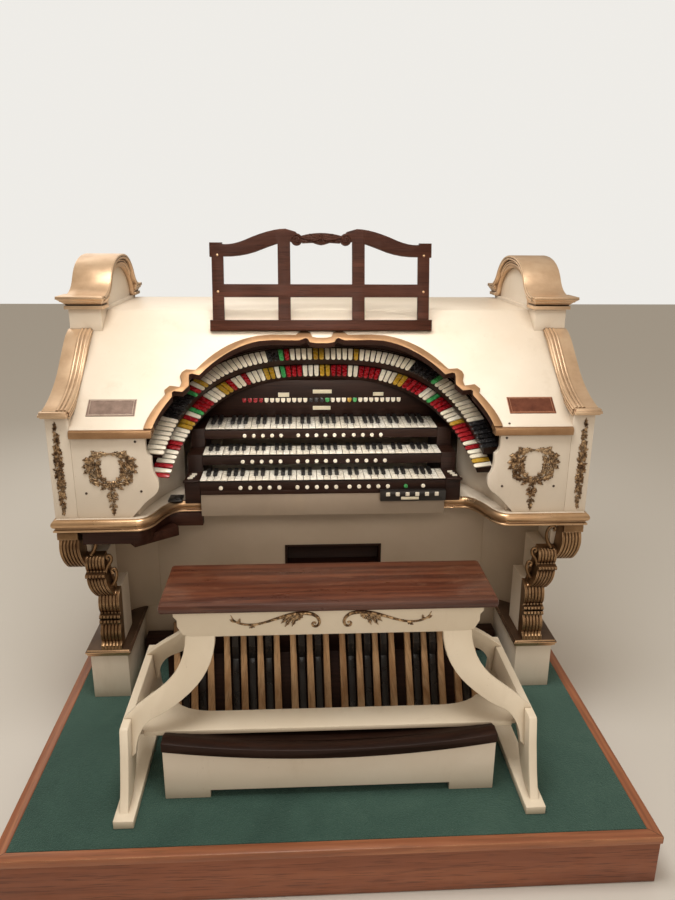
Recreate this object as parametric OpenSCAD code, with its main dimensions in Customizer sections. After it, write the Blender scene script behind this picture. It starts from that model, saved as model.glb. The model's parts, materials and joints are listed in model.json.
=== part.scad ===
// Theatre organ console: three keyboards, a horseshoe of stop tabs, a pedalboard and a bench
// that straddles it, all on a carpeted platform. Millimetres, +Z up, +Y away from the player.
// The origin is on the floor under the middle of the platform. Depths inside the modules are
// measured from the front edge of the lowest keys, and at_home() moves them to the origin.

/* [Platform] */
// Width of the platform
plat_w = 1828; // [1700:4:2000]
// Depth of the platform
plat_d = 1730; // [1720:5:1750]
// Height of the carpet above the floor
plat_h = 160; // [120:5:200]
// Height of the wooden nosing strip
nosing_h = 24; // [16:1:34]
// Width of the wooden nosing strip seen from above
nosing_w = 34; // [20:1:60]

/* [Case] */
// Half width of the case over its two cheeks
case_x = 880; // [850:5:890]
// Thickness of the front pilaster of a cheek
pilaster_w = 72; // [60:1:90]
// Thickness of the raised post of a cheek
post_w = 111; // [100:1:125]
// Back face of the case
case_back_y = 826; // [815:1:835]
// Thickness of the panels
panel_t = 20; // [15:1:26]
// Front face of the pilasters
front_y = -121; // [-130:1:-112]
// Height of the key desk above the floor
desk_z = 850; // [846:1:853]
// Height of the flat top of the case
top_z = 1475; // [1465:5:1490]
// Height of the front edge of the sloped lid
lid_front_z = 1146; // [1140:1:1152]
// Slope of the lid
lid_slope = 36; // [35.5:0.1:36.5]
// Length of the lid up its slope
lid_len = 560; // [550:5:565]
// Height of the cheek crest above the flat top
crest_h = 187; // [160:5:210]
// Width of the gold moulding round the horseshoe
mould_w = 28; // [20:1:34]

/* [Keyboards] */
// Number of octaves of a keyboard
octaves = 5; // [5:1:5]
// Width of a natural key from joint to joint
key_pitch = 23.58; // [23:0.02:23.8]
// Height of the lowest key tops above the floor
key_z = 935; // [932:1:938]
// Step back from each keyboard to the next, the second and the third measured from the first
key_back = [0, 100, 197];
// Rise from the first keyboard to each keyboard
key_rise = [0, 62, 130];
// Length of the keys that shows, keyboard by keyboard
key_len = [98, 93, 155];
// Diameter of a piston button
piston_d = 11.5; // [9:0.5:14]

/* [Stop tabs] */
// Distance from one tab to the next along the outer ends of a row
tab_pitch = 21.2; // [20.6:0.1:21.4]
// Length of a tab
tab_len = 62; // [50:1:70]
// Width of a tab at its outer end
tab_w = 19; // [16:0.5:19.5]
// Width of a tab at its rounded tip
tip_w = 16.5; // [14:0.5:16.8]
// Thickness of a tab
tab_t = 6; // [4:0.5:8]
// Slope of both rows of tabs
rail_slope = 30; // [29:0.5:31]
// Tabs in the outer row
outer_tabs = 80; // [75:1:81]
// Tabs in the inner row
inner_tabs = 81; // [75:1:81]

/* [Pedalboard] */
// Distance from one natural pedal to the next
pedal_pitch = 59; // [56:0.5:60]
// Width of a natural pedal
pedal_w = 23; // [20:1:26]
// Height of the pedal tops above the carpet
pedal_h = 125; // [110:1:140]
// Half width of the pedalboard
pedal_x = 485; // [480:1:500]

/* [Bench] */
// Half width of the seat
seat_x = 488; // [470:2:500]
// Height of the seat above the floor
seat_z = 747; // [730:1:760]
// Front edge of the seat
seat_front = -528; // [-540:1:-520]
// Depth of the seat
seat_d = 268; // [250:2:290]
// Thickness of the seat
seat_t = 30; // [24:1:36]
// Half width between the outer edges of the bench's soles
foot_x = 611; // [609:1:613]

/* [Hidden] */
$fn = 48;
cream = "#efe3cd";
gold = "#b98a52";
dark_wood = "#3a201a";
eps = 0.01;

// Front edge of the platform, measured from the front edge of the lowest keys
plat_front = -815;
module at_home() translate([0, -plat_front - plat_d / 2, 0]) children();

// Widths worked out from the key pitch
keys_n = octaves * 7 + 1;
keys_w = keys_n * key_pitch;
cheek_x = keys_w / 2 + 53;

// Lid plane: its front edge, and the height of its surface over any distance back
lid_y = -130;
function lid_at(y) = lid_front_z + (y - lid_y) * tan(lid_slope);
lid_back_y = lid_y + lid_len * cos(lid_slope);

// Draws an outline given as depth and height, from x0 to x1
module across(x0, x1, pts) {
    translate([x0, 0, 0]) rotate([90, 0, 90]) linear_extrude(x1 - x0) polygon(pts);
}
// Block between two corners
module block(a, b) { translate(a) cube(b - a); }
// The left piece and its mirror image on the right
module pair() { children(); mirror([1, 0, 0]) children(); }
// Points on a smooth curve through three control points
function bend(a, b, c, n = 8) =
    [for (i = [0:n]) let (t = i / n) a * (1 - t) * (1 - t) + b * 2 * t * (1 - t) + c * t * t];
// Points on an arc, as depth and height
function arc(cy, cz, ry, rz, a0, a1, n = 16) =
    [for (i = [0:n]) let (a = a0 + (a1 - a0) * i / n) [cy + ry * cos(a), cz + rz * sin(a)]];
// Joins two runs of points that share one
function join(a, b) = concat(a, [for (i = [1:len(b) - 1]) b[i]]);
function back(v) = [for (i = [len(v) - 1:-1:0]) v[i]];
function flip(v) = [for (p = back(v)) [-p[0], p[1]]];
// Outward normal of a step, and a run of points moved outwards with mitred corners
function normal(a, b) = [b[1] - a[1], a[0] - b[0]] / norm(b - a);
function grow(v, d) = [for (i = [0:len(v) - 1])
    let (j = max(i - 1, 0), k = min(i, len(v) - 2), n = normal(v[j], v[j + 1]), m = normal(v[k], v[k + 1]))
        v[i] + d * (n + m) / (1 + n * m)];
// Moulding with a profile of outward distance and height, run along a line of points
module run(line, profile) {
    n = len(profile);
    rows = [for (q = profile) [for (p = grow(line, q[0])) [p[0], p[1], q[1]]]];
    polyhedron(
        points = [for (i = [0:len(line) - 1], j = [0:n - 1]) rows[j][i]],
        faces = concat([[for (j = [0:n - 1]) j]], [[for (j = [n - 1:-1:0]) (len(line) - 1) * n + j]],
            [for (i = [0:len(line) - 2], j = [0:n - 1])
                [i * n + j, (i + 1) * n + j, (i + 1) * n + (j + 1) % n, i * n + (j + 1) % n]]));
}

// Platform
nosing_over = 5;
module platform_frame() color("#8a5a34") at_home()
    translate([-plat_w / 2 + nosing_over, plat_front + nosing_over, 0])
        cube([plat_w - 2 * nosing_over, plat_d - 2 * nosing_over, plat_h - nosing_h]);
module platform_nosing() color("#c98a4e") at_home() difference() {
    translate([-plat_w / 2, plat_front, plat_h - nosing_h]) cube([plat_w, plat_d, nosing_h]);
    translate([-plat_w / 2 + nosing_w, plat_front + nosing_w, 0])
        cube([plat_w - 2 * nosing_w, plat_d - 2 * nosing_w, plat_h + 1]);
}
module platform_carpet() color("#2f5d50") at_home()
    translate([-plat_w / 2 + nosing_w, plat_front + nosing_w, plat_h - nosing_h])
        cube([plat_w - 2 * nosing_w, plat_d - 2 * nosing_w, nosing_h]);

// Lower case
low_x = 818;
knee_y = 200;
knee_x = 622;
slot_mid = 43;
slot_x = 185;
slot_z = [503, 598];
slot_rim = 8;
desk_t = 45;
desk_under = desk_z - desk_t;
case_in_y = case_back_y - panel_t;
module case_back() color(cream) at_home() {
    block([-low_x + panel_t, case_in_y, plat_h], [low_x - panel_t, case_back_y, desk_under]);
    block([-case_x + pilaster_w, case_in_y, desk_under - eps],
          [case_x - pilaster_w, case_back_y, top_z - panel_t]);
}
wall_front_y = 62;
module lower_sides() color(cream) at_home() pair() across(-low_x, -low_x + panel_t, [
    [knee_y, plat_h], [knee_y, ped_top + cap_h], [wall_front_y, ped_top + cap_h],
    [wall_front_y, desk_under], [case_back_y, desk_under], [case_back_y, plat_h]]);
module knee_panel() color(cream) at_home() difference() {
    union() {
        block([-knee_x, knee_y, plat_h], [knee_x, knee_y + panel_t, desk_under]);
        pair() block([-ped_x[1] + panel_t, knee_y, plat_h], [-knee_x + 1, knee_y + panel_t, ped_top + cap_h]);
    }
    block([slot_mid - slot_x, knee_y - 1, slot_z[0]], [slot_mid + slot_x, knee_y + panel_t + 1, slot_z[1]]);
}
// Curved panels that run from the knee panel out to the sides, above the pedestals
curve_line = bend([-knee_x, knee_y], [-740, knee_y], [-low_x + panel_t, wall_front_y], 10);
module curved_panels() color(cream) at_home() pair()
    translate([0, 0, ped_top + cap_h]) linear_extrude(desk_under - ped_top - cap_h)
        polygon(concat(curve_line, back([for (p = grow(curve_line, 16))
            [max(p[0], -low_x + panel_t), p[1]]])));
module slot_frame() color(dark_wood) at_home() translate([slot_mid, 0, 0]) difference() {
    block([-slot_x, knee_y - 3, slot_z[0]], [slot_x, knee_y + panel_t + 60, slot_z[1]]);
    block([-slot_x + slot_rim, knee_y - 4, slot_z[0] + slot_rim],
          [slot_x - slot_rim, knee_y + panel_t + 48, slot_z[1] - slot_rim]);
}
module apron_panel() color(cream) at_home() {
    block([-keys_w / 2, 6, desk_under - 5], [keys_w / 2, 24, key_z - slip_low]);
    block([-keys_w / 2, 24 - eps, desk_under - 5], [keys_w / 2, knee_y, desk_under]);
}

// Key desk: its edge from the back of the case round the corner to the key frame
desk_x = case_x - 3;
desk_front = front_y - 9;
desk_in_y = 41;
desk_curve = join(bend([-620, desk_front], [-585, desk_front], [-566, -62], 6),
    bend([-566, -62], [-540, desk_in_y], [-490, desk_in_y], 7));
desk_edge = concat([[-desk_x, case_in_y], [-desk_x, desk_front]], desk_curve, [[-keys_w / 2, desk_in_y]]);
module key_desk() color(cream) at_home() translate([0, 0, desk_under]) {
    pair() linear_extrude(desk_t) polygon(concat(desk_edge, [[-keys_w / 2, case_in_y]]));
    block([-keys_w / 2 - eps, knee_y, 0], [keys_w / 2 + eps, case_in_y, 20]);
}
// Gold bullnose with a thin bead under it
nose_r = 15;
nose = concat([[0.1, desk_z - 1]], [for (a = [75:-25:-75]) [nose_r * cos(a) * 0.95, desk_z - 1 - nose_r + nose_r * sin(a)]],
    [[4, desk_z - 34], [8, desk_z - 36], [10, desk_z - 39.5], [8, desk_z - 43], [0.1, desk_z - 44]]);
module desk_moulding() color(gold) at_home() run(desk_edge, nose);
module desk_moulding_left() desk_moulding();
module desk_moulding_right() mirror([1, 0, 0]) desk_moulding();
box_line = join([[-800, desk_front], [-620, desk_front]], desk_curve);
module under_desk_box() color(dark_wood) at_home()
    translate([0, 0, desk_under - 38]) linear_extrude(38)
        polygon(concat([for (p = grow(box_line, -12)) [p[0], min(p[1], 30)]],
            [[-keys_w / 2, 30], [-keys_w / 2, 60], [-800, 60]]));

// Pedestals and their caps
ped_x = [690, 818];
ped_front = -107;
ped_top = 327;
cap_h = 28;
module pedestals() color(cream) at_home() pair()
    block([-ped_x[1], ped_front, plat_h], [-ped_x[0], knee_y, ped_top]);
module pedestal_caps() color(gold) at_home() pair() {
    for (s = [[0, 4, 6], [6, 10, 9], [15, 14, 7], [22, 9, 6]])
        block([-ped_x[1] - s[1], ped_front - s[1], ped_top + s[0]],
              [-ped_x[0] + s[1], knee_y, ped_top + s[0] + s[2]]);
}

// Scrolled bracket in three stages that step inwards from the desk to the pedestal,
// each given as depth and height, with a curled strut beside it
br_foot = ped_top + cap_h;
br_back = wall_front_y;
// Strut with a curled head, from z0 up to z1, its curl towards the middle of the case
module strut(x, z0, z1, y0, curl) {
    translate([0, y0 + 26, 0]) rotate([90, 0, 0]) linear_extrude(26) {
        polygon(concat(bend([x, z0], [x + 22, (z0 + z1) / 2], [x + 2, z1 - 8], 6),
            back(bend([x - 18, z0], [x + 6, (z0 + z1) / 2], [x - 10, z1 - 8], 6))));
        translate([x - 4, z1 - 10]) circle(r = curl, $fn = 24);
    }
}
module bracket() color(gold) at_home() {
    stage_1 = concat([[br_back, desk_under], [-122, desk_under], [-124, desk_under - 12], [-108, desk_under - 16]],
        bend([-114, desk_under - 30], [-116, desk_under - 80], [-66, desk_under - 112], 8), [[br_back, desk_under - 118]]);
    across(-880, -814, stage_1);
    stage_2 = concat([[br_back, desk_under - 76]], bend([-60, desk_under - 78], [-92, desk_under - 84], [-94, desk_under - 110], 5),
        bend([-98, desk_under - 132], [-104, desk_under - 142], [-114, desk_under - 148], 3),
        bend([-114, desk_under - 155], [-100, desk_under - 185], [-62, desk_under - 198], 6), [[br_back, desk_under - 200]]);
    across(-802, -740, stage_2);
    translate([-816, 0, desk_under - 118]) block([0, -62, 0], [40, br_back, 34]);
    stage_3 = concat([[br_back, desk_under - 188]], bend([-60, desk_under - 188], [-98, desk_under - 196], [-100, desk_under - 240], 7),
        [[-104, desk_under - 285], [-110, desk_under - 294], [-104, desk_under - 302], [-109, desk_under - 308], [-104, desk_under - 316]],
        bend([-98, desk_under - 330], [-90, desk_under - 395], [-104, br_foot + 22], 5), [[-112, br_foot + 14], [-112, br_foot], [br_back, br_foot]]);
    across(-774, -706, stage_3);
    strut(-770, desk_under - 92, desk_under, -70, 8);
    strut(-712, desk_under - 202, desk_under - 116, -70, 10);
    translate([-728, -70, desk_under - 108]) rotate([-90, 0, 0]) cylinder(r = 15, h = 26);
}
module bracket_left() bracket();
module bracket_right() mirror([1, 0, 0]) bracket();

// Wing panel with its scalloped inner edge, as x and height
trim_h = 23;
wing_edge = join(join(join(join([[-573, lid_front_z - trim_h], [-573, 1083]],
    bend([-573, 1083], [-572, 1066], [-557, 1056], 4)), bend([-557, 1056], [-560, 1000], [-543, 982], 5)),
    bend([-543, 982], [-528, 940], [-570, 915], 6)), bend([-570, 915], [-590, 900], [-632, desk_z], 5));
module wing_panel() color(cream) at_home()
    translate([0, front_y + 1 + panel_t, 0]) rotate([90, 0, 0]) linear_extrude(panel_t)
        polygon(concat(wing_edge, [[-case_x + pilaster_w, desk_z], [-case_x + pilaster_w, lid_front_z - trim_h]]));
module wing_panel_left() wing_panel();
module wing_panel_right() mirror([1, 0, 0]) wing_panel();

// Cheeks: pilaster in front, raised post and arched back
post_y = 235;
post_foot_z = lid_at(post_y) - 30;
hump_y = 545;
hump_z = top_z + 12;
hump_r = [259, crest_h - 12];
band_t = 47;
cap_top = top_z + 57;
foot_z = 1191;
scroll_t = 30;
band_over = join(join(bend([-126, 1212], [-20, 1235], [60, 1296], 6), bend([60, 1296], [110, 1340], [150, 1374], 4)),
    bend([150, 1374], [192, 1412], [post_y, 1420], 6));
band_under = [for (p = grow(band_over, scroll_t)) [min(p[0], post_y), p[1]]];
module cheek() color(cream) at_home() {
    across(-case_x, -case_x + pilaster_w, concat([[case_back_y, desk_z], [front_y, desk_z], [front_y, foot_z]],
        [for (p = band_under) if (p[0] > front_y + 4 && p[0] < post_y - 1) p],
        [[post_y, 1390], [post_y, hump_z], [case_back_y, hump_z]]));
    across(-case_x + pilaster_w - eps, -case_x + post_w, [[case_in_y, top_z - 200], [post_y + 60, top_z - 200],
        [post_y, post_foot_z], [post_y, hump_z], [case_in_y, hump_z]]);
    across(-case_x + 12, -case_x + post_w - 12,
        arc(hump_y, hump_z - eps, hump_r[0] - band_t, hump_r[1] - band_t, 0, 180, 20));
}
module cheek_left() cheek();
module cheek_right() mirror([1, 0, 0]) cheek();

// Gold band that rolls down the slope of a cheek
module slope_scroll() color(gold) at_home() {
    difference() {
        across(-case_x - 4, -case_x + pilaster_w + 3, concat(band_over, [[post_y, 1390]],
            back([for (p = band_under) if (p[0] > front_y + 4 && p[0] < post_y - 1) p]), [[front_y, foot_z], [-126, foot_z]]));
        lid_plane() translate([-case_x + pilaster_w, 0, -200]) cube([20, 600, 200]);
    }
    for (s = [[0, 3, 5], [5, 8, 8], [13, 5, 7]])
        block([-case_x - 4 - s[1], -138 - s[1], foot_z + s[0]],
              [-case_x + pilaster_w + s[1] / 2, front_y + eps, foot_z + s[0] + s[2]]);
}
module slope_scroll_left() slope_scroll();
module slope_scroll_right() mirror([1, 0, 0]) slope_scroll();

// Gold crest: moulded cap in front, and a band over the arch that flares at both feet
crest_over = join(join(join(bend([232, top_z + 56], [316, top_z + 58], [350, top_z + 112], 7),
    bend([350, top_z + 112], [402, top_z + 187], [560, top_z + 187], 9)),
    bend([560, top_z + 187], [676, top_z + 187], [734, top_z + 112], 9)),
    bend([734, top_z + 112], [768, top_z + 60], [850, top_z + 56], 6));
crest_sheet = 18;
module crest() color(gold) at_home() {
    for (s = [[12, 20, 12], [24 - eps, 8, 14], [38 - 2 * eps, 22, 10], [48 - 3 * eps, 32, 9]]) {
        block([-case_x - s[1], post_y - s[1], top_z + s[0]],
              [-case_x + post_w + s[1] / 2, 312, top_z + s[0] + s[2]]);
        block([-case_x - s[1] / 2, 772, top_z + s[0]],
              [-case_x + post_w + s[1] / 2, 846 + s[1], top_z + s[0] + s[2]]);
    }
    across(-case_x - 10, -case_x + post_w + 14, concat(crest_over, back(grow(crest_over, crest_sheet))));
    across(-case_x - 3, -case_x + post_w + 4, concat(
        [for (p = grow(crest_over, crest_sheet - 1)) if (p[0] > 300 && p[0] < 790) p], [[772, top_z + 13]],
        arc(hump_y, hump_z, hump_r[0] - band_t, hump_r[1] - band_t, 0, 180, 28), [[312, top_z + 13]]));
}
module crest_left() crest();
module crest_right() mirror([1, 0, 0]) crest();

// Horseshoe outline on the lid plane, as half width and distance up the slope
shoe = join(join(join(join([[576, 0]], bend([576, 0], [569, 70], [520, 150], 6)),
    [[520, 150], [526, 169], [510, 188], [476, 182], [472, 205], [480, 231], [476, 248], [462, 262], [430, 258]]),
    bend([430, 258], [350, 392], [225, 422], 9)), [[225, 422], [175, 427], [92, 425],
    [84, 437], [74, 444], [50, 444], [40, 437], [34, 416], [18, 411], [0, 411]]);
shoe_in = join(join(join([[548, 0]], bend([548, 0], [540, 62], [497, 140], 6)),
    [[497, 140], [500, 158], [494, 164], [466, 160], [446, 188], [450, 225], [450, 238], [442, 242], [416, 234]]),
    join(bend([416, 234], [330, 368], [216, 396], 9), [[216, 396], [170, 400], [80, 398],
    [68, 404], [60, 410], [56, 410], [50, 404], [44, 390], [20, 384], [0, 384]]));
module lid_plane() translate([0, lid_y, lid_front_z]) rotate([lid_slope, 0, 0]) children();
module both_halves(v) polygon(concat([for (p = v) [-p[0], p[1]]], back(v)));
lid_lip = 6;
module sloped_lid() color(cream) at_home() difference() {
    lid_plane() difference() {
        translate([-case_x + pilaster_w, lid_lip, -panel_t])
            cube([2 * (case_x - pilaster_w), lid_len - lid_lip + 14, panel_t]);
        translate([0, 0, -panel_t - 1]) linear_extrude(panel_t + 2) polygon(concat(
            [[-576, -5]], [for (p = shoe) [-p[0], p[1]]], back(shoe), [[576, -5]]));
    }
    pair() block([-case_x, post_y, lid_front_z], [-case_x + post_w, 600, top_z + 50]);
    block([-case_x, lid_back_y, top_z - 40], [case_x, 600, top_z + 50]);
}
module top_board() color(cream) at_home()
    block([-case_x + post_w, lid_back_y, top_z - panel_t], [case_x - post_w, case_back_y, top_z]);
module lid_moulding() color(gold) at_home() {
    lid_plane() translate([0, 0, -panel_t]) linear_extrude(panel_t + 6) difference() {
        both_halves(shoe);
        both_halves([for (p = shoe_in) p - [0, p[1] < 1 ? 1 : 0]]);
        translate([-600, -1]) square([1200, lid_lip + 1]);
    }
    lip = lid_lip * [cos(lid_slope), sin(lid_slope)];
    sunk = panel_t * [sin(lid_slope), -cos(lid_slope)];
    edge = [lid_y, lid_front_z] + lip;
    pair() across(-case_x + pilaster_w, -550, [[lid_y - 6, lid_front_z - trim_h], [lid_y - 8, lid_front_z - 10],
        [lid_y - 6, lid_front_z], edge, edge + sunk, [front_y + panel_t, edge[1] + sunk[1]],
        [front_y + panel_t, lid_front_z - trim_h]]);
}
module plaques() color("#6b4a3c") at_home() lid_plane() pair()
    translate([-764, 62, 0]) cube([154, 70, 3]);

// Keyboards
sharp_after = [0, 1, 3, 4, 5];
key_gap = 1;
sharp_w = 11;
sharp_l = [58, 54, 100];
sharp_x = [for (o = [0:octaves - 1], k = sharp_after) -keys_w / 2 + (o * 7 + k + 1) * key_pitch];
slip_high = 10;
slip_low = 42;
module keyboard_frame() color(dark_wood) at_home() {
    pair() for (m = [0:2])
        block([-cheek_x, key_back[m], m == 0 ? desk_z : key_z + key_rise[m - 1] - 3],
              [-keys_w / 2 - 1, 375, key_z + key_rise[m] - 2]);
    for (m = [0:2]) {
        block([-keys_w / 2 - 1 - eps, key_back[m] + 3, key_z + key_rise[m] - slip_low],
              [keys_w / 2 + 1 + eps, key_back[m] + 20, key_z + key_rise[m] - slip_high]);
        block([-keys_w / 2 - 1 - eps, key_back[m] + 20 - eps, key_z + key_rise[m] - slip_low],
              [keys_w / 2 + 1 + eps, m == 2 ? 375 : key_back[m + 1] + 12, key_z + key_rise[m] - 24]);
    }
}
module one_natural(i, m) {
    x0 = -keys_w / 2 + i * key_pitch + key_gap / 2;
    difference() {
        union() {
            translate([x0, 0, -4]) cube([key_pitch - key_gap, key_len[m], 4]);
            translate([x0, 21, -24]) cube([key_pitch - key_gap, key_len[m] - 21, 24]);
        }
        for (x = sharp_x) if (abs(x - x0 - key_pitch / 2) < key_pitch)
            translate([x - sharp_w / 2 - 1, key_len[m] - sharp_l[m] - 1.5, -30])
                cube([sharp_w + 2, sharp_l[m] + 10, 60]);
    }
}
module natural_keys() color("#f4efe2") at_home() for (m = [0:2])
    translate([0, key_back[m], key_z + key_rise[m]]) for (i = [0:keys_n - 1]) one_natural(i, m);
module sharp_keys() color("#15110f") at_home() for (m = [0:2])
    translate([0, key_back[m] + key_len[m] - sharp_l[m], key_z + key_rise[m]])
        for (x = sharp_x) across(x - sharp_w / 2, x + sharp_w / 2,
            [[0, -24], [0, 0], [5, 10], [sharp_l[m], 10], [sharp_l[m], -24]]);

// Piston buttons in the strips under the keys: strip, groups as first place and count
piston_rows = [[0, [[-354, 1], [-287, 5], [-91, 5], [89, 5], [285, 1], [346, 1]]],
               [1, [[-284, 5], [-89, 5], [89, 5]]],
               [2, [[-282, 5], [-87, 6], [117, 4]]]];
piston_step = [33.4, 33.3, 33.2];
module pistons() color("#f1ede4") at_home() for (r = piston_rows)
    translate([0, key_back[r[0]] + 3, key_z + key_rise[r[0]] - (slip_high + slip_low) / 2 - 1])
        for (g = r[1], i = [0:g[1] - 1])
            translate([g[0] + i * piston_step[r[0]], 0, 0]) rotate([90, 0, 0])
                cylinder(d = piston_d, h = 6);
module control_box() color("#1a1615") at_home() {
    block([196, -14, key_z - 80], [424, 6, key_z - slip_low - 1]);
    for (i = [0:5]) translate([222 + i * 34, -14, key_z - 54]) rotate([90, 0, 0]) cylinder(d = 9, h = 4);
}

// Rows of stop tabs: a flattened arch in a sloped plane, as x and distance up the slope.
// Each line holds the half width, the height and the squareness of its arch
rail_y = -100;
arch_foot = -300;
outer_line = [600, 856, 2.8];
inner_line = [584, 867, 2.7];
outer_z = 1043;
inner_z = 973;
function arch(l, a) = let (r = pow(pow(abs(cos(a)) / l[0], l[2]) + pow(sin(a) / l[1], l[2]), -1 / l[2]))
    [r * cos(a), r * sin(a) + arch_foot];
function turn(l, a, d) = 0.1 * d / norm(arch(l, a + 0.05) - arch(l, a - 0.05));
// Angles of the tabs from the middle of the arch out to one side
function walk(l, a, d, left) = left == 0 ? [a]
    : concat([a], walk(l, a + turn(l, a + turn(l, a, d) / 2, d), d, left - 1));
function half_row(l, count) = let (odd = count % 2 == 1)
    walk(l, 90 + (odd ? 0 : turn(l, 90, tab_pitch / 2)), tab_pitch, floor((count - 1) / 2));
function heading(l, a) = let (q = arch(l, a + 0.05) - arch(l, a - 0.05)) atan2(q[1], q[0]);
module rail_plane(z) translate([0, rail_y, z]) rotate([rail_slope, 0, 0]) children();
module tab_shape(l, w0, w1) {
    polygon([[-w0 / 2, 0], [w0 / 2, 0], [w1 / 2, l - w1 / 2], [-w1 / 2, l - w1 / 2]]);
    translate([0, l - w1 / 2]) circle(d = w1, $fn = 24);
}
module tab_at(l, a) translate(arch(l, a)) rotate(heading(l, a)) linear_extrude(tab_t)
    tab_shape(tab_len, tab_w, tip_w);
module tab_row(l, z, count) rail_plane(z) for (a = half_row(l, count)) {
    tab_at(l, a);
    if (a > 90.01) mirror([1, 0, 0]) tab_at(l, a);
}
module stop_tabs_outer() color("#efe6d2") at_home() tab_row(outer_line, outer_z, outer_tabs);
module stop_tabs_inner() color("#b8343a") at_home() tab_row(inner_line, inner_z, inner_tabs);
// Half of an arch moved in or out, from its front end to its middle, and the whole of it
rail_foot = 38;
function half_arch(l, d, n = 24) = let (k = [l[0] + d, l[1] + d, l[2]],
    a0 = 180 - atan2(rail_foot - arch_foot, k[0] * pow(1 - pow((rail_foot - arch_foot) / k[1], k[2]), 1 / k[2])))
    [for (i = [0:n]) arch(k, a0 + (90 - a0) * i / n)];
function whole_arch(l, d) = let (h = half_arch(l, d)) join(h, flip(h));
module arch_band(l, out, inn) polygon(concat(whole_arch(l, out), back(whole_arch(l, inn))));
rail_gap = (outer_z - inner_z) * cos(rail_slope);
skirt = 12;
module stop_rail_outer() color(dark_wood) at_home() rail_plane(outer_z) {
    translate([0, 0, -34]) linear_extrude(34) arch_band(outer_line, 14, -46);
    translate([0, 0, -rail_gap]) linear_extrude(rail_gap - 30) arch_band(outer_line, 14, 14 - skirt);
}
module stop_rail_inner() color(dark_wood) at_home() rail_plane(inner_z)
    translate([0, 0, -26]) linear_extrude(26) arch_band(inner_line, 34, -46);
// Brown wall round the horseshoe, from the outer row up to the lid
module recess_wall() color("#4a2318") at_home() difference() {
    translate([0, rail_y, outer_z - 40]) linear_extrude(top_z - outer_z)
        polygon([for (p = concat(whole_arch(outer_line, 28), back(whole_arch(outer_line, 14))))
            [p[0], p[1] * cos(rail_slope)]]);
    rail_plane(outer_z) translate([-800, -200, -600]) cube([1600, 1000, 600]);
    lid_plane() translate([-900, -200, -panel_t]) cube([1800, 1200, 400]);
    block([-900, 0, top_z - panel_t], [900, 900, top_z + 100]);
}

// Curved white cheeks inside the horseshoe, from the desk up to the inner row
cheek_curve = bend([-612, -99], [-590, 60], [-505, 208], 8);
module inner_cheeks() color(cream) at_home() difference() {
    pair() translate([0, 0, desk_z]) linear_extrude(300)
        polygon(concat(cheek_curve, back(grow(cheek_curve, -16))));
    rail_plane(inner_z) translate([-800, -200, -26]) cube([1600, 1000, 600]);
}
function rail_under(y) = inner_z + (y - rail_y) * tan(rail_slope) - 26 / cos(rail_slope);
module back_board() color(dark_wood) at_home()
    across(-cheek_x, cheek_x, [[356, key_z + key_rise[2] - 2], [374, key_z + key_rise[2] - 2],
        [374, rail_under(374)], [356, rail_under(356)]]);
module coupler_tabs() color("#e9dfc9") at_home() for (i = [0:28])
    translate([-291 + i * 21.1, 356, key_z + 204]) rotate([90, 0, 0]) linear_extrude(5)
        mirror([0, 1]) tab_shape(17, 16.5, 15);

// Music desk: ledge on the lid, and a frame with a waved top rail that leans back
desk_lean = 10;
desk_half = 383;
ledge_x = desk_half + 8;
ledge_y = [213, 237, 266];
ledge_z = lid_at(ledge_y[1]);
stile_w = 40;
desk_t_front = 18;
mid_rail = [102, 146];
// Points of the top rail, with their distance from the middle as a share of half the width
function wide(v) = [for (p = v) [p[0] * desk_half, p[1]]];
rise_line = join(bend([-0.92, 284], [-0.835, 277], [-0.705, 296], 5), bend([-0.705, 296], [-0.47, 336], [-0.326, 336], 6));
fall_line = join(bend([-0.895, 242], [-0.705, 240], [-0.535, 268], 5), bend([-0.535, 268], [-0.43, 284], [-0.313, 296], 4));
eye = [0.225, 300];
module music_desk() color("#4a2318") at_home() {
    across(-ledge_x, ledge_x, [[ledge_y[0], ledge_z + 4], [ledge_y[0] + 5, ledge_z], [ledge_y[1], ledge_z],
        [ledge_y[2], lid_at(ledge_y[2])], [ledge_y[2], lid_at(ledge_y[2]) + 8],
        [ledge_y[0] + 13, ledge_z + 16], [ledge_y[0] + 13, ledge_z + 38], [ledge_y[0] + 3, ledge_z + 38],
        [ledge_y[0] + 3, ledge_z + 24], [ledge_y[0], ledge_z + 20]]);
    translate([0, ledge_y[1] + 12, ledge_z + 12]) rotate([90 - desk_lean, 0, 0]) linear_extrude(desk_t_front) {
        for (x = [-desk_half, desk_half - stile_w]) translate([x, 0]) square([stile_w, 262]);
        for (x = [-0.342, 0.342]) translate([x * desk_half - stile_w * 0.55, 0]) square([stile_w * 1.1, 310]);
        translate([-desk_half + 1, mid_rail[0]]) square([2 * desk_half - 2, mid_rail[1] - mid_rail[0]]);
        for (m = [0, 1]) mirror([m, 0]) {
            polygon(concat([[-desk_half - 7, 240], [-desk_half - 7, 288], [-desk_half + 38, 288]], wide(rise_line),
                wide([[-0.235, 326], [-0.172, 300], [-0.188, 286], [-0.248, 290]]), back(wide(fall_line))));
            translate([-eye[0] * desk_half, eye[1]]) circle(r = 20, $fn = 32);
        }
        polygon(wide(join(join(bend([-0.188, 312], [0, 332], [0.188, 312], 8), bend([0.188, 312], [0.198, 300], [0.172, 288], 3)),
            join([[0.172, 288], [0.078, 290], [0.031, 284], [0, 282], [-0.031, 284], [-0.078, 290], [-0.172, 288]],
            bend([-0.172, 288], [-0.198, 300], [-0.188, 312], 3)))));
    }
}

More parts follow.
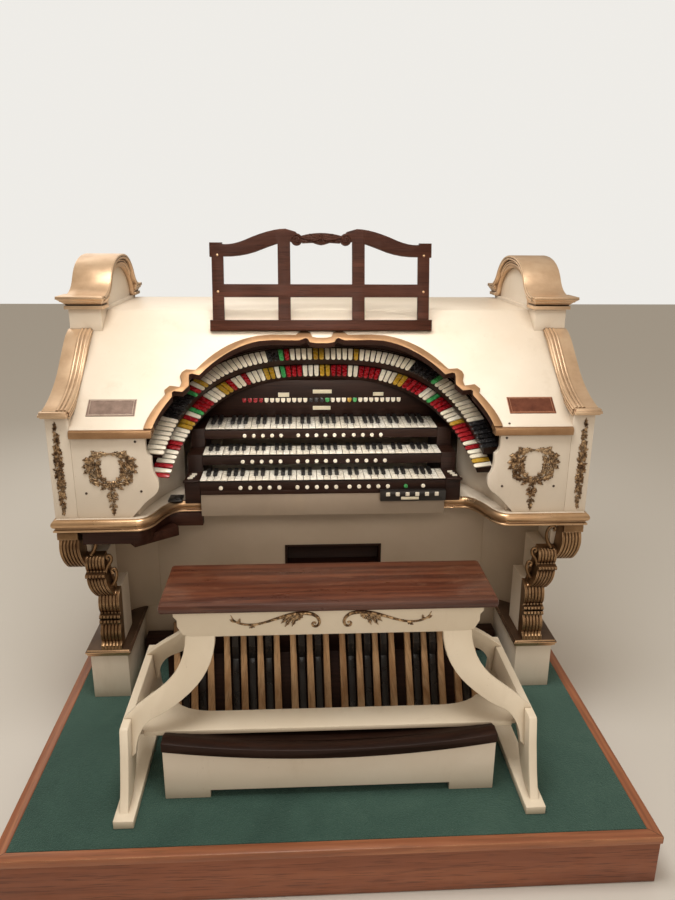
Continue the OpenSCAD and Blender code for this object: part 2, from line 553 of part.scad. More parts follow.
// Pedalboard: white heel board with a dark rail on it, two bearers, and the pedals across them
pedal_top = plat_h + pedal_h;
lever_h = 40;
heel_y = -608;
heel_h = 130;
heel_rise = 38;
rail_back = -572;
rail_t = 30;
toe_y = 190;
natural_n = 19;
fan_x = -40;
fan_front = 0.845;
fan_back = 1.095;
sharp_ped_after = [0, 1, 3, 4, 5, 7, 8, 10, 11, 12, 14, 15, 17];
function pedal_pos(i) = (i - (natural_n - 1) / 2) * pedal_pitch;
// Top edge of the heel board, hollowed towards the middle, and lifted by z
function heel_line(z) = [for (i = [-12:12]) [i / 12 * (pedal_x + 2), plat_h + heel_h + z + heel_rise * i * i / 144]];
module pedal_heel_board() color(cream) at_home() {
    translate([0, heel_y + 18, 0]) rotate([90, 0, 0]) linear_extrude(18) intersection() {
        polygon(concat([[-pedal_x, plat_h + 25], [-pedal_x + 132, plat_h + 25], [pedal_x - 132, plat_h + 25]],
            [[pedal_x, plat_h + 25]], back(heel_line(0))));
        translate([-pedal_x, plat_h]) square([2 * pedal_x, 300]);
    }
    pair() block([-pedal_x, heel_y, plat_h], [-pedal_x + 132, heel_y + 18, plat_h + 25 + eps]);
    pair() block([-pedal_x, heel_y + 18 - eps, plat_h], [-pedal_x + 18, -545, plat_h + heel_h]);
}
module pedal_heel_rail() color(dark_wood) at_home()
    translate([0, rail_back, 0]) rotate([90, 0, 0]) linear_extrude(rail_back - heel_y + 8)
        polygon(concat(heel_line(0), back(heel_line(rail_t))));
base_t = 14;
module pedal_bearers() color(dark_wood) at_home() {
    block([-pedal_x + 18, -588, plat_h + 40], [pedal_x - 18, -546, pedal_top - lever_h]);
    pair() block([-pedal_x + 18, -588, plat_h], [-pedal_x + 58, -546, plat_h + 41]);
    block([-680, toe_y - 60, plat_h], [680, toe_y, pedal_top - lever_h]);
    translate([0, 0, plat_h]) linear_extrude(base_t)
        polygon([[-pedal_x + 19, -546 - eps], [pedal_x - 19, -546 - eps], [600, toe_y - 59], [-600, toe_y - 59]]);
}
function fan(x, f) = fan_x * (1 - f / fan_front) + x * f;
module lever(x, w, y0, y1, z0, z1) {
    f = function (y) fan_front + (fan_back - fan_front) * (y + 546) / (toe_y + 546);
    translate([0, 0, z0]) linear_extrude(z1 - z0) polygon([
        [fan(x, f(y0)) - w / 2, y0], [fan(x, f(y0)) + w / 2, y0], [fan(x, f(y1)) + w / 2, y1], [fan(x, f(y1)) - w / 2, y1]]);
}
module natural_pedals() color("#b9844f") at_home() for (i = [0:natural_n - 1])
    lever(pedal_pos(i), pedal_w, -586, toe_y - 2, pedal_top - lever_h, pedal_top);
module sharp_pedals() color("#171310") at_home() for (i = sharp_ped_after) {
    lever(pedal_pos(i + 0.5), 20, -586, toe_y - 2, pedal_top - lever_h, pedal_top - 14);
    lever(pedal_pos(i + 0.5), 22, -60, toe_y - 2, pedal_top - 15, pedal_top + 36);
}

// Bench
seat_back = seat_front + seat_d;
module bench_seat() color("#6a2f1d") at_home()
    block([-seat_x, seat_front, seat_z - seat_t], [seat_x, seat_back, seat_z]);
module bench_apron() color(cream) at_home() for (y = [seat_front + 16, seat_back - 34])
    translate([0, y + 18, seat_z - seat_t]) rotate([90, 0, 0]) linear_extrude(18) polygon([
        [-448, 0], [-448, -14], [-438, -26], [-438, -46], [-424, -72], [-400, -80],
        [400, -80], [424, -72], [438, -46], [438, -26], [448, -14], [448, 0]]);
// Curved leg boards under the apron, splayed apart in depth towards the feet, as x and
// distance down the board
leg_top = seat_z - seat_t - 80;
leg_t = 20;
splay = 14;
leg_in = join(join(bend([-331, 0], [-333, -100], [-404, -166], 7), bend([-404, -166], [-462, -220], [-513, -240], 5)),
    bend([-513, -240], [-552, -262], [-562, -326], 6));
leg_out = join(join(bend([-416, 0], [-418, -100], [-497, -157], 7), bend([-497, -157], [-560, -200], [-590, -231], 4)),
    bend([-590, -231], [-606, -248], [-foot_x + 1, -266], 3));
foot_t = 24;
sole_w = 57;
sole_t = 25;
foot_in = foot_x - sole_w + 20;
foot_top = 410;
seat_mid = seat_front + seat_d / 2;
module leg_board() difference() {
    rotate([90 - splay, 0, 0]) linear_extrude(leg_t)
        polygon(concat(leg_in, [[-562, -340], [-foot_in, -352], [-foot_x + 1, -352]], back(leg_out)));
    translate([-foot_x - 10, -200, foot_top - leg_top - 400]) cube([foot_x + 10 - foot_in, 400, 400]);
}
module bench_legs() color(cream) at_home() pair() {
    translate([0, seat_front + 36, leg_top]) leg_board();
    translate([0, seat_back - 36, leg_top]) mirror([0, 1, 0]) leg_board();
}
// Sledge feet: arched boards on edge, each standing on a flat sole
foot_half = concat([[-294, plat_h + sole_t - eps], [-263, 254], [-239, 330], [-223, foot_top - 6], [-216, foot_top]]);
arch_half = join(bend([-282, plat_h + sole_t - eps], [-180, plat_h + sole_t + 6], [-150, 265], 6),
    bend([-150, 265], [-128, 318], [0, 322], 6));
module bench_feet() color(cream) at_home() pair() {
    translate([0, seat_mid, 0]) across(-foot_in - foot_t, -foot_in,
        concat(foot_half, flip(foot_half), back(flip(arch_half)), [for (i = [len(arch_half) - 2:-1:0]) arch_half[i]]));
    block([-foot_x, seat_mid - 322, plat_h], [-foot_x + sole_w, seat_mid + 322, plat_h + sole_t]);
}
shelf_z = 348;
shelf_front = -548;
module bench_footrest() color(cream) at_home() translate([0, 0, shelf_z - 15]) linear_extrude(15)
    polygon(concat([[-548, shelf_front], [548, shelf_front], [548, -540], [foot_in, -540], [foot_in, -410]],
        bend([470, -410], [430, -457], [340, -457], 5), bend([-340, -457], [-430, -457], [-470, -410], 5),
        [[-foot_in, -410], [-foot_in, -540], [-548, -540]]));

platform_frame();
platform_nosing();
platform_carpet();
case_back();
lower_sides();
knee_panel();
curved_panels();
slot_frame();
apron_panel();
key_desk();
under_desk_box();
desk_moulding_left();
desk_moulding_right();
pedestals();
pedestal_caps();
bracket_left();
bracket_right();
wing_panel_left();
wing_panel_right();
inner_cheeks();
cheek_left();
cheek_right();
slope_scroll_left();
slope_scroll_right();
crest_left();
crest_right();
sloped_lid();
top_board();
lid_moulding();
plaques();
keyboard_frame();
natural_keys();
sharp_keys();
pistons();
control_box();
recess_wall();
stop_rail_outer();
stop_rail_inner();
stop_tabs_outer();
stop_tabs_inner();
back_board();
coupler_tabs();
music_desk();
pedal_heel_board();
pedal_heel_rail();
pedal_bearers();
natural_pedals();
sharp_pedals();
bench_seat();
bench_apron();
bench_legs();
bench_feet();
bench_footrest();
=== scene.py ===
import bisect
import math
import random
import bpy
from mathutils import Matrix, Vector
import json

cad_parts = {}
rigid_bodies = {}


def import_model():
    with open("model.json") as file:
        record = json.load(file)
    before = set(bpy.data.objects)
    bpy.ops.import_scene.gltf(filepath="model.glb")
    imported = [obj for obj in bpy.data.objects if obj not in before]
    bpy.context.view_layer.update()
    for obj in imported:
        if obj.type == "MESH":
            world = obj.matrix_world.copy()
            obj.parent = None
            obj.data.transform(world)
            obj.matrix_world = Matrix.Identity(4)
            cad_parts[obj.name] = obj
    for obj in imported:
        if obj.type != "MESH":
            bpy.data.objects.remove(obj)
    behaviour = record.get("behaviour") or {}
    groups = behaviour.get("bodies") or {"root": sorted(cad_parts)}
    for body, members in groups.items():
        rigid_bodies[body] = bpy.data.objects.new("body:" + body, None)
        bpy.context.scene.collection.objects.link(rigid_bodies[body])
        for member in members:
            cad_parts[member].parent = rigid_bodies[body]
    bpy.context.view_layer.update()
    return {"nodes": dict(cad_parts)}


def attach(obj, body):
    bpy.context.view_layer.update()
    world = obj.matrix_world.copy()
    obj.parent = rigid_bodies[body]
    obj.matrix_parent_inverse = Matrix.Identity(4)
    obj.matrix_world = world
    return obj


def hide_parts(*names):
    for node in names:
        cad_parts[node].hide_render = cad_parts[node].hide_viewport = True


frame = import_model()
CONSOLE = "root"

# The view: a standing person's eye about two metres in front of the keys,
# a little left of the middle and looking down on the stop tabs.
camera_data = bpy.data.cameras.new("viewer")
camera_data.lens = 29.315
camera_data.sensor_width = 36
viewer = bpy.data.objects.new("viewer", camera_data)
bpy.context.collection.objects.link(viewer)
EYE = (-0.0849, -2.4354, 1.7714)
TURN, LOOK_DOWN, TILT = (math.radians(a) for a in (3.15, 17.06, 0.38))
viewer.matrix_world = (Matrix.Translation(EYE) @ Matrix.Rotation(-TURN, 4, "Z")
                       @ Matrix.Rotation(math.pi / 2 - LOOK_DOWN, 4, "X") @ Matrix.Rotation(TILT, 4, "Z"))
bpy.context.scene.camera = viewer
bpy.context.scene.view_settings.view_transform = "Standard"


# Studio: a pale floor that keeps the shadow, a pale surround for the eye and for
# reflections, a broad ceiling lamp, a narrow lamp on the keys and two broad fills.
def put(tree, kind, sockets=None, **settings):
    made = tree.nodes.new("ShaderNode" + kind)
    for key, value in settings.items():
        setattr(made, key, value)
    for key, value in (sockets or {}).items():
        if isinstance(value, bpy.types.NodeSocket):
            tree.links.new(value, made.inputs[key])
        else:
            made.inputs[key].default_value = value
    return made


def empty_material(name):
    made = bpy.data.materials.new(name)
    made.use_nodes = True
    made.node_tree.nodes.clear()
    return made, made.node_tree


def shaded(tree, **sockets):
    """Principled shader joined to the output; names as on the node, with _ for a space."""
    shader = put(tree, "BsdfPrincipled", {key.replace("_", " "): value for key, value in sockets.items()})
    put(tree, "OutputMaterial", {"Surface": shader.outputs[0]})
    return shader


world = bpy.data.worlds.new("studio")
bpy.context.scene.world = world
world.use_nodes = True
sky = world.node_tree
sky.nodes.clear()
rays = put(sky, "LightPath")
seen = put(sky, "Math", {0: rays.outputs["Is Camera Ray"], 1: rays.outputs["Is Transmission Ray"]},
           operation="MAXIMUM")
height = put(sky, "SeparateXYZ", {0: put(sky, "TexCoord").outputs["Generated"]})
soft = put(sky, "ValToRGB", {0: put(sky, "MapRange", {0: height.outputs[2], 1: -1.0, 2: 1.0}).outputs[0]})
soft.color_ramp.elements[0].color = (0.12, 0.09, 0.065, 1)
soft.color_ramp.elements[0].position = 0.3
soft.color_ramp.elements[1].color = (0.78, 0.68, 0.56, 1)
soft.color_ramp.elements[1].position = 0.95
around = put(sky, "Background", {"Color": soft.outputs[0], "Strength": 0.70})
backdrop = put(sky, "Background", {"Color": (0.86, 0.84, 0.80, 1), "Strength": 1.0})
put(sky, "OutputWorld", {"Surface": put(sky, "MixShader", {
    0: seen.outputs[0], 1: around.outputs[0], 2: backdrop.outputs[0]}).outputs[0]})

for name, place, target, size, power, spread, colour in (
        ("ceiling_lamp", (-0.25, -0.80, 3.5), (0, 0.1, 0.9), 1.3, 52, 180, (1.0, 0.955, 0.89)),
        ("keys_lamp", (-0.1, -2.0, 2.15), (0, 0.36, 1.20), 0.7, 1.75, 32, (1.0, 0.93, 0.84)),
        ("room_fill", (0.6, -3.6, 1.9), (0, 0, 0.7), 3.0, 24, 180, (1.0, 0.88, 0.76)),
        ("back_fill", (-1.5, 3.2, 2.8), (0, 0.4, 0.9), 2.6, 22, 180, (1.0, 0.95, 0.88))):
    lamp_data = bpy.data.lights.new(name, "AREA")
    lamp_data.size, lamp_data.energy, lamp_data.color = size, power, colour
    lamp_data.spread = math.radians(spread)
    lamp = bpy.data.objects.new(name, lamp_data)
    bpy.context.collection.objects.link(lamp)
    lamp.location = place
    lamp.rotation_euler = (Vector(target) - Vector(place)).to_track_quat("-Z", "Y").to_euler()

bpy.ops.object.select_all(action="DESELECT")
bpy.ops.mesh.primitive_plane_add(size=30, location=(0, 0, -0.002))
floor = bpy.context.object
floor.name = "floor"
floor_finish, tree = empty_material("pale_floor")
shaded(tree, Base_Color=(0.74, 0.72, 0.68, 1), Roughness=0.75)
floor.data.materials.append(floor_finish)


# Platform: a low stage of softwood boards with a varnished nosing strip mitred round
# its top edge; the carpet is laid inside the strip, level with it.
def group(name, inputs, outputs):
    made = bpy.data.node_groups.new(name, "ShaderNodeTree")
    for key, (kind, value) in inputs.items():
        socket = made.interface.new_socket(key, in_out="INPUT", socket_type="NodeSocket" + kind)
        if value is not None:
            socket.default_value = value
    for key, kind in outputs.items():
        made.interface.new_socket(key, in_out="OUTPUT", socket_type="NodeSocket" + kind)
    return made, made.nodes.new("NodeGroupInput").outputs, made.nodes.new("NodeGroupOutput").inputs


def use(tree, effect, sockets):
    made = tree.nodes.new("ShaderNodeGroup")
    made.node_tree = effect
    for key, value in sockets.items():
        if isinstance(value, bpy.types.NodeSocket):
            tree.links.new(value, made.inputs[key])
        else:
            made.inputs[key].default_value = value
    return made.outputs


def math_of(tree, operation, *values, clamp=False):
    return put(tree, "Math", dict(enumerate(values)), operation=operation, use_clamp=clamp).outputs[0]


def between(tree, value, low, high, to_low=0.0, to_high=1.0):
    return put(tree, "MapRange", {0: value, 1: low, 2: high, 3: to_low, 4: to_high}).outputs[0]


def mixed(tree, factor, a, b, blend="MIX"):
    return put(tree, "Mix", {0: factor, 6: a, 7: b}, data_type="RGBA", blend_type=blend).outputs[2]


def tinted(tree, under, mask, share, over):
    """Lays a second colour over the first where the mask is high."""
    return mixed(tree, math_of(tree, "MULTIPLY", mask, share), under, (*over, 1))


def bumped(tree, strength, distance, height):
    return put(tree, "Bump", {"Strength": strength, "Distance": distance, "Height": height}).outputs[0]


def ramp(tree, factor, *stops):
    made = put(tree, "ValToRGB", {0: factor})
    marks = made.color_ramp.elements
    while len(marks) < len(stops):
        marks.new(0.5)
    for mark, (position, colour) in zip(marks, stops):
        mark.position = position
        mark.color = (*colour, 1)
    return made.outputs[0]


def noise(tree, vector, scale, detail=3.0, rough=0.5, warp=0.0):
    return put(tree, "TexNoise", {"Vector": vector, "Scale": scale, "Detail": detail,
                                  "Roughness": rough, "Distortion": warp}).outputs[0]


# Sawn wood: long wavy figure with fine pores, running along the first axis of Vector
wood_figure, given, wanted = group("wood_figure",
    {"Vector": ("Vector", None), "Scale": ("Float", 1.0)},
    {"Figure": "Float", "Pores": "Float", "Height": "Float"})
sized = put(wood_figure, "VectorMath", {0: given["Vector"]}, operation="SCALE")
wood_figure.links.new(given["Scale"], sized.inputs["Scale"])
sized = sized.outputs[0]
long_way = put(wood_figure, "Mapping", {"Vector": sized, "Scale": (0.9, 11, 11)}).outputs[0]
pore_way = put(wood_figure, "Mapping", {"Vector": sized, "Scale": (9, 260, 260)}).outputs[0]
streak_way = put(wood_figure, "Mapping", {"Vector": sized, "Scale": (1.1, 42, 42)}).outputs[0]
broad = noise(wood_figure, long_way, 1.3, 6, 0.62, 1.4)
streaks = noise(wood_figure, streak_way, 1.0, 4, 0.6, 0.3)
rings = put(wood_figure, "TexWave", {"Vector": long_way, "Scale": 0.7, "Distortion": 14.0, "Detail": 4.0,
                                     "Detail Scale": 0.6}, bands_direction="Y").outputs["Fac"]
figure = math_of(wood_figure, "MULTIPLY_ADD", rings, 0.14, math_of(
    wood_figure, "MULTIPLY_ADD", streaks, 0.42, math_of(wood_figure, "MULTIPLY", broad, 0.46)))
pores = between(wood_figure, noise(wood_figure, pore_way, 1.0, 2, 0.5), 0.56, 0.66)
wood_figure.links.new(figure, wanted["Figure"])
wood_figure.links.new(pores, wanted["Pores"])
wood_figure.links.new(math_of(wood_figure, "MULTIPLY_ADD", pores, -0.6, figure), wanted["Height"])

# Wear, dirt and painted shade: outer edges rubbed bare in patches, and inner corners darkened where they are
# shut in, partly grime and partly painted shade
edge_wear_and_corner_shade, given, wanted = group("edge_wear_and_corner_shade",
    {"Vector": ("Vector", None), "Radius": ("Float", 0.003), "Reach": ("Float", 0.03),
     "Patches": ("Float", 9.0)},
    {"Edge": "Float", "Corner_grime_and_shade": "Float"})
rounded = put(edge_wear_and_corner_shade, "Bevel", {"Radius": given["Radius"]}, samples=4).outputs[0]
facing = put(edge_wear_and_corner_shade, "VectorMath", {0: rounded, 1: put(edge_wear_and_corner_shade, "NewGeometry").outputs["Normal"]},
             operation="DOT_PRODUCT").outputs["Value"]
patchy = noise(edge_wear_and_corner_shade, given["Vector"], given["Patches"], 6, 0.7)
edge = math_of(edge_wear_and_corner_shade, "MULTIPLY", between(edge_wear_and_corner_shade, facing, 0.985, 0.9),
               between(edge_wear_and_corner_shade, patchy, 0.42, 0.62))
# The corner mask is ambient occlusion: it darkens where shade falls, a painted shade that also stands for
# grime
shut_in = put(edge_wear_and_corner_shade, "AmbientOcclusion", {"Distance": given["Reach"]}, samples=8).outputs["AO"]
edge_wear_and_corner_shade.links.new(edge, wanted["Edge"])
edge_wear_and_corner_shade.links.new(between(edge_wear_and_corner_shade, shut_in, 0.85, 0.35), wanted["Corner_grime_and_shade"])


def object_vector(tree, turn=(0, 0, 0), scale=(1, 1, 1)):
    place = put(tree, "TexCoord").outputs["Object"]
    return put(tree, "Mapping", {"Vector": place, "Rotation": turn, "Scale": scale}).outputs[0]


def wood(name, dark, middle, light, scale=1.0, turn=(0, 0, 0), rough=0.4, coat=0.0, wear=0.3, bare=None,
         pore=0.5, gloss=0.5):
    made, tree = empty_material(name)
    vector = object_vector(tree, turn)
    grain = use(tree, wood_figure, {"Vector": vector, "Scale": scale})
    wear_and_shade = use(tree, edge_wear_and_corner_shade, {"Vector": vector})
    colour = ramp(tree, grain["Figure"], (0.22, dark), (0.5, middle), (0.78, light))
    colour = tinted(tree, colour, grain["Pores"], pore, [c * 0.35 for c in dark])
    colour = tinted(tree, colour, wear_and_shade["Edge"], wear, (bare or light))
    # Corners darkened to a deeper tone of the wood: part grime, part painted shade
    colour = tinted(tree, colour, wear_and_shade["Corner_grime_and_shade"], 0.6, [c * 0.4 for c in dark])
    sheen = between(tree, noise(tree, vector, 14, 4), 0.3, 0.7, rough - 0.07, rough + 0.1)
    bump = bumped(tree, 0.25, 0.0006, grain["Height"])
    shaded(tree, Base_Color=colour, Roughness=sheen, Normal=bump, Coat_Weight=coat, Coat_Roughness=0.15,
           Specular_IOR_Level=gloss)
    return made


ALONG_Y = (0, 0, math.pi / 2)


def linked(name, data):
    """A new object for a mesh or a curve, put in the scene and selected by itself."""
    made = bpy.data.objects.new(name, data)
    bpy.context.collection.objects.link(made)
    bpy.ops.object.select_all(action="DESELECT")
    bpy.context.view_layer.objects.active = made
    made.select_set(True)
    return made


def dress(node, finish, round_by=0.0012, smooth=35, segments=2):
    """A finished copy of a CAD node: doubles merged, flat faces joined, edges eased."""
    piece = linked(node + "_finished", frame["nodes"][node].data.copy())
    bpy.ops.object.mode_set(mode="EDIT")
    bpy.ops.mesh.select_all(action="SELECT")
    bpy.ops.mesh.customdata_custom_splitnormals_clear()
    bpy.ops.mesh.remove_doubles(threshold=0.00002)
    bpy.ops.mesh.dissolve_limited(angle_limit=math.radians(0.5))
    bpy.ops.object.mode_set(mode="OBJECT")
    if round_by:
        eased = piece.modifiers.new("eased", "BEVEL")
        eased.width, eased.segments, eased.limit_method = round_by, segments, "ANGLE"
        eased.angle_limit = math.radians(40)
        eased.use_clamp_overlap = True
        bpy.ops.object.modifier_apply(modifier="eased")
    bpy.ops.object.shade_smooth_by_angle(angle=math.radians(smooth))
    piece.data.materials.clear()
    piece.data.materials.append(finish)
    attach(piece, CONSOLE)
    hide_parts(node)
    return piece


board_wood = wood("platform_board", (0.155, 0.047, 0.021), (0.262, 0.085, 0.039), (0.37, 0.134, 0.062), 1.2,
                  rough=0.5)
dress("platform_frame", board_wood, 0.002)

# Nosing: four strips mitred at the corners, so the grain turns with each side
strip_wood, tree = empty_material("nosing_strip")
across_grain = put(tree, "SeparateXYZ", {0: object_vector(tree)})
HALF_WIDTH, HALF_DEPTH = 0.914, 0.865
to_side = math_of(tree, "SUBTRACT", HALF_WIDTH, math_of(tree, "ABSOLUTE", across_grain.outputs[0]))
to_front = math_of(tree, "SUBTRACT", HALF_DEPTH, math_of(tree, "ABSOLUTE", across_grain.outputs[1]))
on_side = math_of(tree, "LESS_THAN", to_side, to_front)
grains = [use(tree, wood_figure, {"Vector": object_vector(tree, turn), "Scale": 1.5})
          for turn in ((0, 0, 0), ALONG_Y)]
figure, pores = (put(tree, "Mix", {0: on_side, 2: grains[0][key], 3: grains[1][key]},
                     data_type="FLOAT").outputs[0]
                 for key in ("Figure", "Pores"))
colour = ramp(tree, figure, (0.3, (0.20, 0.064, 0.027)), (0.5, (0.315, 0.108, 0.047)),
              (0.7, (0.43, 0.172, 0.078)))
colour = tinted(tree, colour, pores, 0.5, (0.16, 0.07, 0.03))
wear_and_shade = use(tree, edge_wear_and_corner_shade, {"Vector": object_vector(tree), "Radius": 0.004})
colour = tinted(tree, colour, wear_and_shade["Edge"], 0.6, (0.60, 0.34, 0.18))
mitre = math_of(tree, "LESS_THAN", math_of(tree, "ABSOLUTE", math_of(tree, "SUBTRACT", to_side, to_front)),
                0.0012)
colour = mixed(tree, mitre, colour, (0.08, 0.035, 0.015, 1))
shaded(tree, Base_Color=colour, Roughness=between(tree, figure, 0.3, 0.7, 0.32, 0.46),
       Normal=bumped(tree, 0.2, 0.0006, figure))
dress("platform_nosing", strip_wood, 0.004)

# Carpet: short dense cut pile, brushed both ways by feet, so its green lies in patches
carpet_pile, tree = empty_material("carpet_pile")
vector = object_vector(tree)
tufts = put(tree, "TexVoronoi", {"Vector": vector, "Scale": 330, "Randomness": 1.0}).outputs["Distance"]
trodden = noise(tree, vector, 3.0, 6, 0.66, 0.6)
speckle = math_of(tree, "MULTIPLY", noise(tree, vector, 380, 2), 0.4)
tone = ramp(tree, math_of(tree, "MULTIPLY_ADD", trodden, 0.6, speckle),
            (0.32, (0.014, 0.046, 0.037)), (0.52, (0.032, 0.084, 0.067)), (0.72, (0.066, 0.130, 0.104)))
lint = between(tree, noise(tree, vector, 240, 1), 0.76, 0.80)
tone = tinted(tree, tone, lint, 0.5, (0.26, 0.30, 0.25))
height = math_of(tree, "MULTIPLY_ADD", tufts, -1.0, math_of(tree, "MULTIPLY", trodden, 1.5))
pile = bumped(tree, 0.9, 0.003, height)
shaded(tree, Base_Color=tone, Roughness=0.95, Normal=pile, Sheen_Weight=0.35, Sheen_Roughness=0.5,
       Sheen_Tint=(0.5, 0.8, 0.7, 1))
dress("platform_carpet", carpet_pile, 0.002)


# Case: panels, cheeks and lid of painted poplar, brushed with a warm ivory enamel that
# has yellowed a little, is rubbed at the arrises and is darker where panels meet, partly grime and partly
# painted shade.
def painted(name, low, high, wear=0.5, streak=(3, 3, 90)):
    made, tree = empty_material(name)
    vector = object_vector(tree)
    wear_and_shade = use(tree, edge_wear_and_corner_shade, {"Vector": vector, "Radius": 0.002, "Reach": 0.05, "Patches": 16.0})
    cloud = noise(tree, vector, 2.2, 5, 0.6)
    colour = ramp(tree, cloud, (0.3, low), (0.7, high))
    smear = between(tree, noise(tree, object_vector(tree, scale=(1, 1, 0.3)), 11, 5, 0.7), 0.56, 0.74)
    colour = tinted(tree, colour, smear, 0.16, (0.46, 0.34, 0.21))
    # Darker where panels meet: part grime, part painted shade
    colour = tinted(tree, colour, wear_and_shade["Corner_grime_and_shade"], 0.5, (0.33, 0.23, 0.14))
    colour = tinted(tree, colour, wear_and_shade["Edge"], wear, (0.40, 0.28, 0.17))
    specks = between(tree, noise(tree, vector, 160, 2), 0.72, 0.78)
    colour = tinted(tree, colour, specks, 0.3, (0.33, 0.23, 0.14))
    strokes = noise(tree, object_vector(tree, scale=streak), 6, 3)
    brushed = bumped(tree, 0.12, 0.0004, strokes)
    shaded(tree, Base_Color=colour, Roughness=between(tree, cloud, 0.3, 0.7, 0.34, 0.47), Normal=brushed)
    return made


case_paint = painted("ivory_enamel", (0.775, 0.675, 0.55), (0.85, 0.77, 0.66))
# The panels under the desk stand in its shade, and are written a little darker: painted shade
shaded_paint = painted("ivory_enamel_in_shade", (0.46, 0.365, 0.27), (0.545, 0.445, 0.34))
for node in ("knee_panel", "curved_panels"):
    dress(node, shaded_paint)
# The apron is written darker still: painted shade
dress("apron_panel", painted("ivory_enamel_apron_in_shade", (0.27, 0.21, 0.155), (0.34, 0.27, 0.205)))
for node in ("case_back", "lower_sides", "key_desk", "pedestals", "wing_panel_left",
             "wing_panel_right", "inner_cheeks", "cheek_left", "cheek_right", "sloped_lid", "top_board"):
    dress(node, case_paint)


# Gold trim: mouldings and caps in bronze powder paint over red-brown size, rubbed
# brighter on the high edges and dark in the quirks, partly patina and partly painted shade.
def gilded(name, dark, middle, light, bright, rough=0.3, grime_and_shade=1.0, reach=0.02, metal=0.85, mottle=9,
           relief=0.0003, swing=0.22):
    made, tree = empty_material(name)
    vector = object_vector(tree)
    wear_and_shade = use(tree, edge_wear_and_corner_shade, {"Vector": vector, "Radius": 0.004, "Reach": reach, "Patches": 7.0})
    cloud = noise(tree, vector, mottle, 5, 0.65)
    colour = ramp(tree, cloud, (0.5 - swing, dark), (0.5, middle), (0.5 + swing, light))
    colour = tinted(tree, colour, wear_and_shade["Edge"], 0.8, bright)
    # Quirks and hollows darkened by the corner mask: part patina, part painted shade
    colour = tinted(tree, colour, wear_and_shade["Corner_grime_and_shade"], grime_and_shade, (0.075, 0.033, 0.015))
    grainy = bumped(tree, 0.3, relief, noise(tree, vector, 70 + mottle, 4))
    shaded(tree, Base_Color=colour, Metallic=metal, Normal=grainy,
           Roughness=between(tree, noise(tree, vector, 22, 4), 0.3, 0.7, rough, rough + 0.14))
    return made


gilding = gilded("bronze_gilding", (0.53, 0.325, 0.175), (0.63, 0.41, 0.235), (0.71, 0.485, 0.295),
                 (0.90, 0.70, 0.46), 0.26)
pale_gilding = gilded("pale_gilding", (0.64, 0.44, 0.275), (0.77, 0.55, 0.365), (0.87, 0.66, 0.455),
                      (0.96, 0.82, 0.60), 0.30, metal=0.75)
for side in ("left", "right"):
    dress("desk_moulding_" + side, gilding, 0.0025)


def second_finish(piece, finish, chosen):
    """Gives another finish to the faces that chosen picks by their centre and direction."""
    piece.data.materials.append(finish)
    for face in piece.data.polygons:
        if chosen(face.center, face.normal):
            face.material_index = 1


# Slope scrolls and crests: a smooth rolled sheet with small reeds run along its inner
# edge, where it overhangs the white cheek; a cove and bead under each foot of the crest.
def bend(a, b, c, steps=8):
    return [tuple(p * (1 - t) ** 2 + q * 2 * t * (1 - t) + r * t * t for p, q, r in zip(a, b, c))
            for t in (i / steps for i in range(steps + 1))]


def rod(name, kind, radius):
    """An empty round rod: its curve, and the spline that its points go into."""
    line = bpy.data.curves.new(name, "CURVE")
    line.dimensions, line.bevel_depth, line.bevel_resolution, line.use_fill_caps = "3D", radius, 2, True
    return line, line.splines.new(kind)


def as_mesh(name, line):
    linked(name, line)
    bpy.ops.object.convert(target="MESH")
    return bpy.context.object


def reed(name, x, path, inset, radius):
    """Half-sunk round bead along a line of depths and heights, moved in from the sheet's face."""
    line, spline = rod(name, "POLY", radius)
    spline.points.add(len(path) - 1)
    for i, (y, z) in enumerate(path):
        before, after = path[max(i - 1, 0)], path[min(i + 1, len(path) - 1)]
        along = Vector((after[0] - before[0], after[1] - before[1])).normalized()
        spline.points[i].co = (x, y + along.y * inset, z - along.x * inset, 1)
    made = as_mesh(name, line)
    bpy.ops.object.shade_smooth_by_angle(angle=math.radians(50))
    return made


def finish_piece(piece, name, finish, slot, *nodes):
    piece.name = name
    piece.data.materials.clear()
    piece.data.materials.append(finish)
    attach(piece, CONSOLE)
    if nodes:
        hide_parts(*nodes)
    return piece


def joined(pieces):
    bpy.ops.object.select_all(action="DESELECT")
    for piece in pieces:
        piece.select_set(True)
    bpy.context.view_layer.objects.active = pieces[0]
    bpy.ops.object.join()
    return bpy.context.object


# Depths count from the front edge of the lowest keys, which lies here in the shared frame
HOME = -0.05
CAP_LOW, CAP_HIGH, CAP_OUT = 1.4965, 1.5245, 0.031


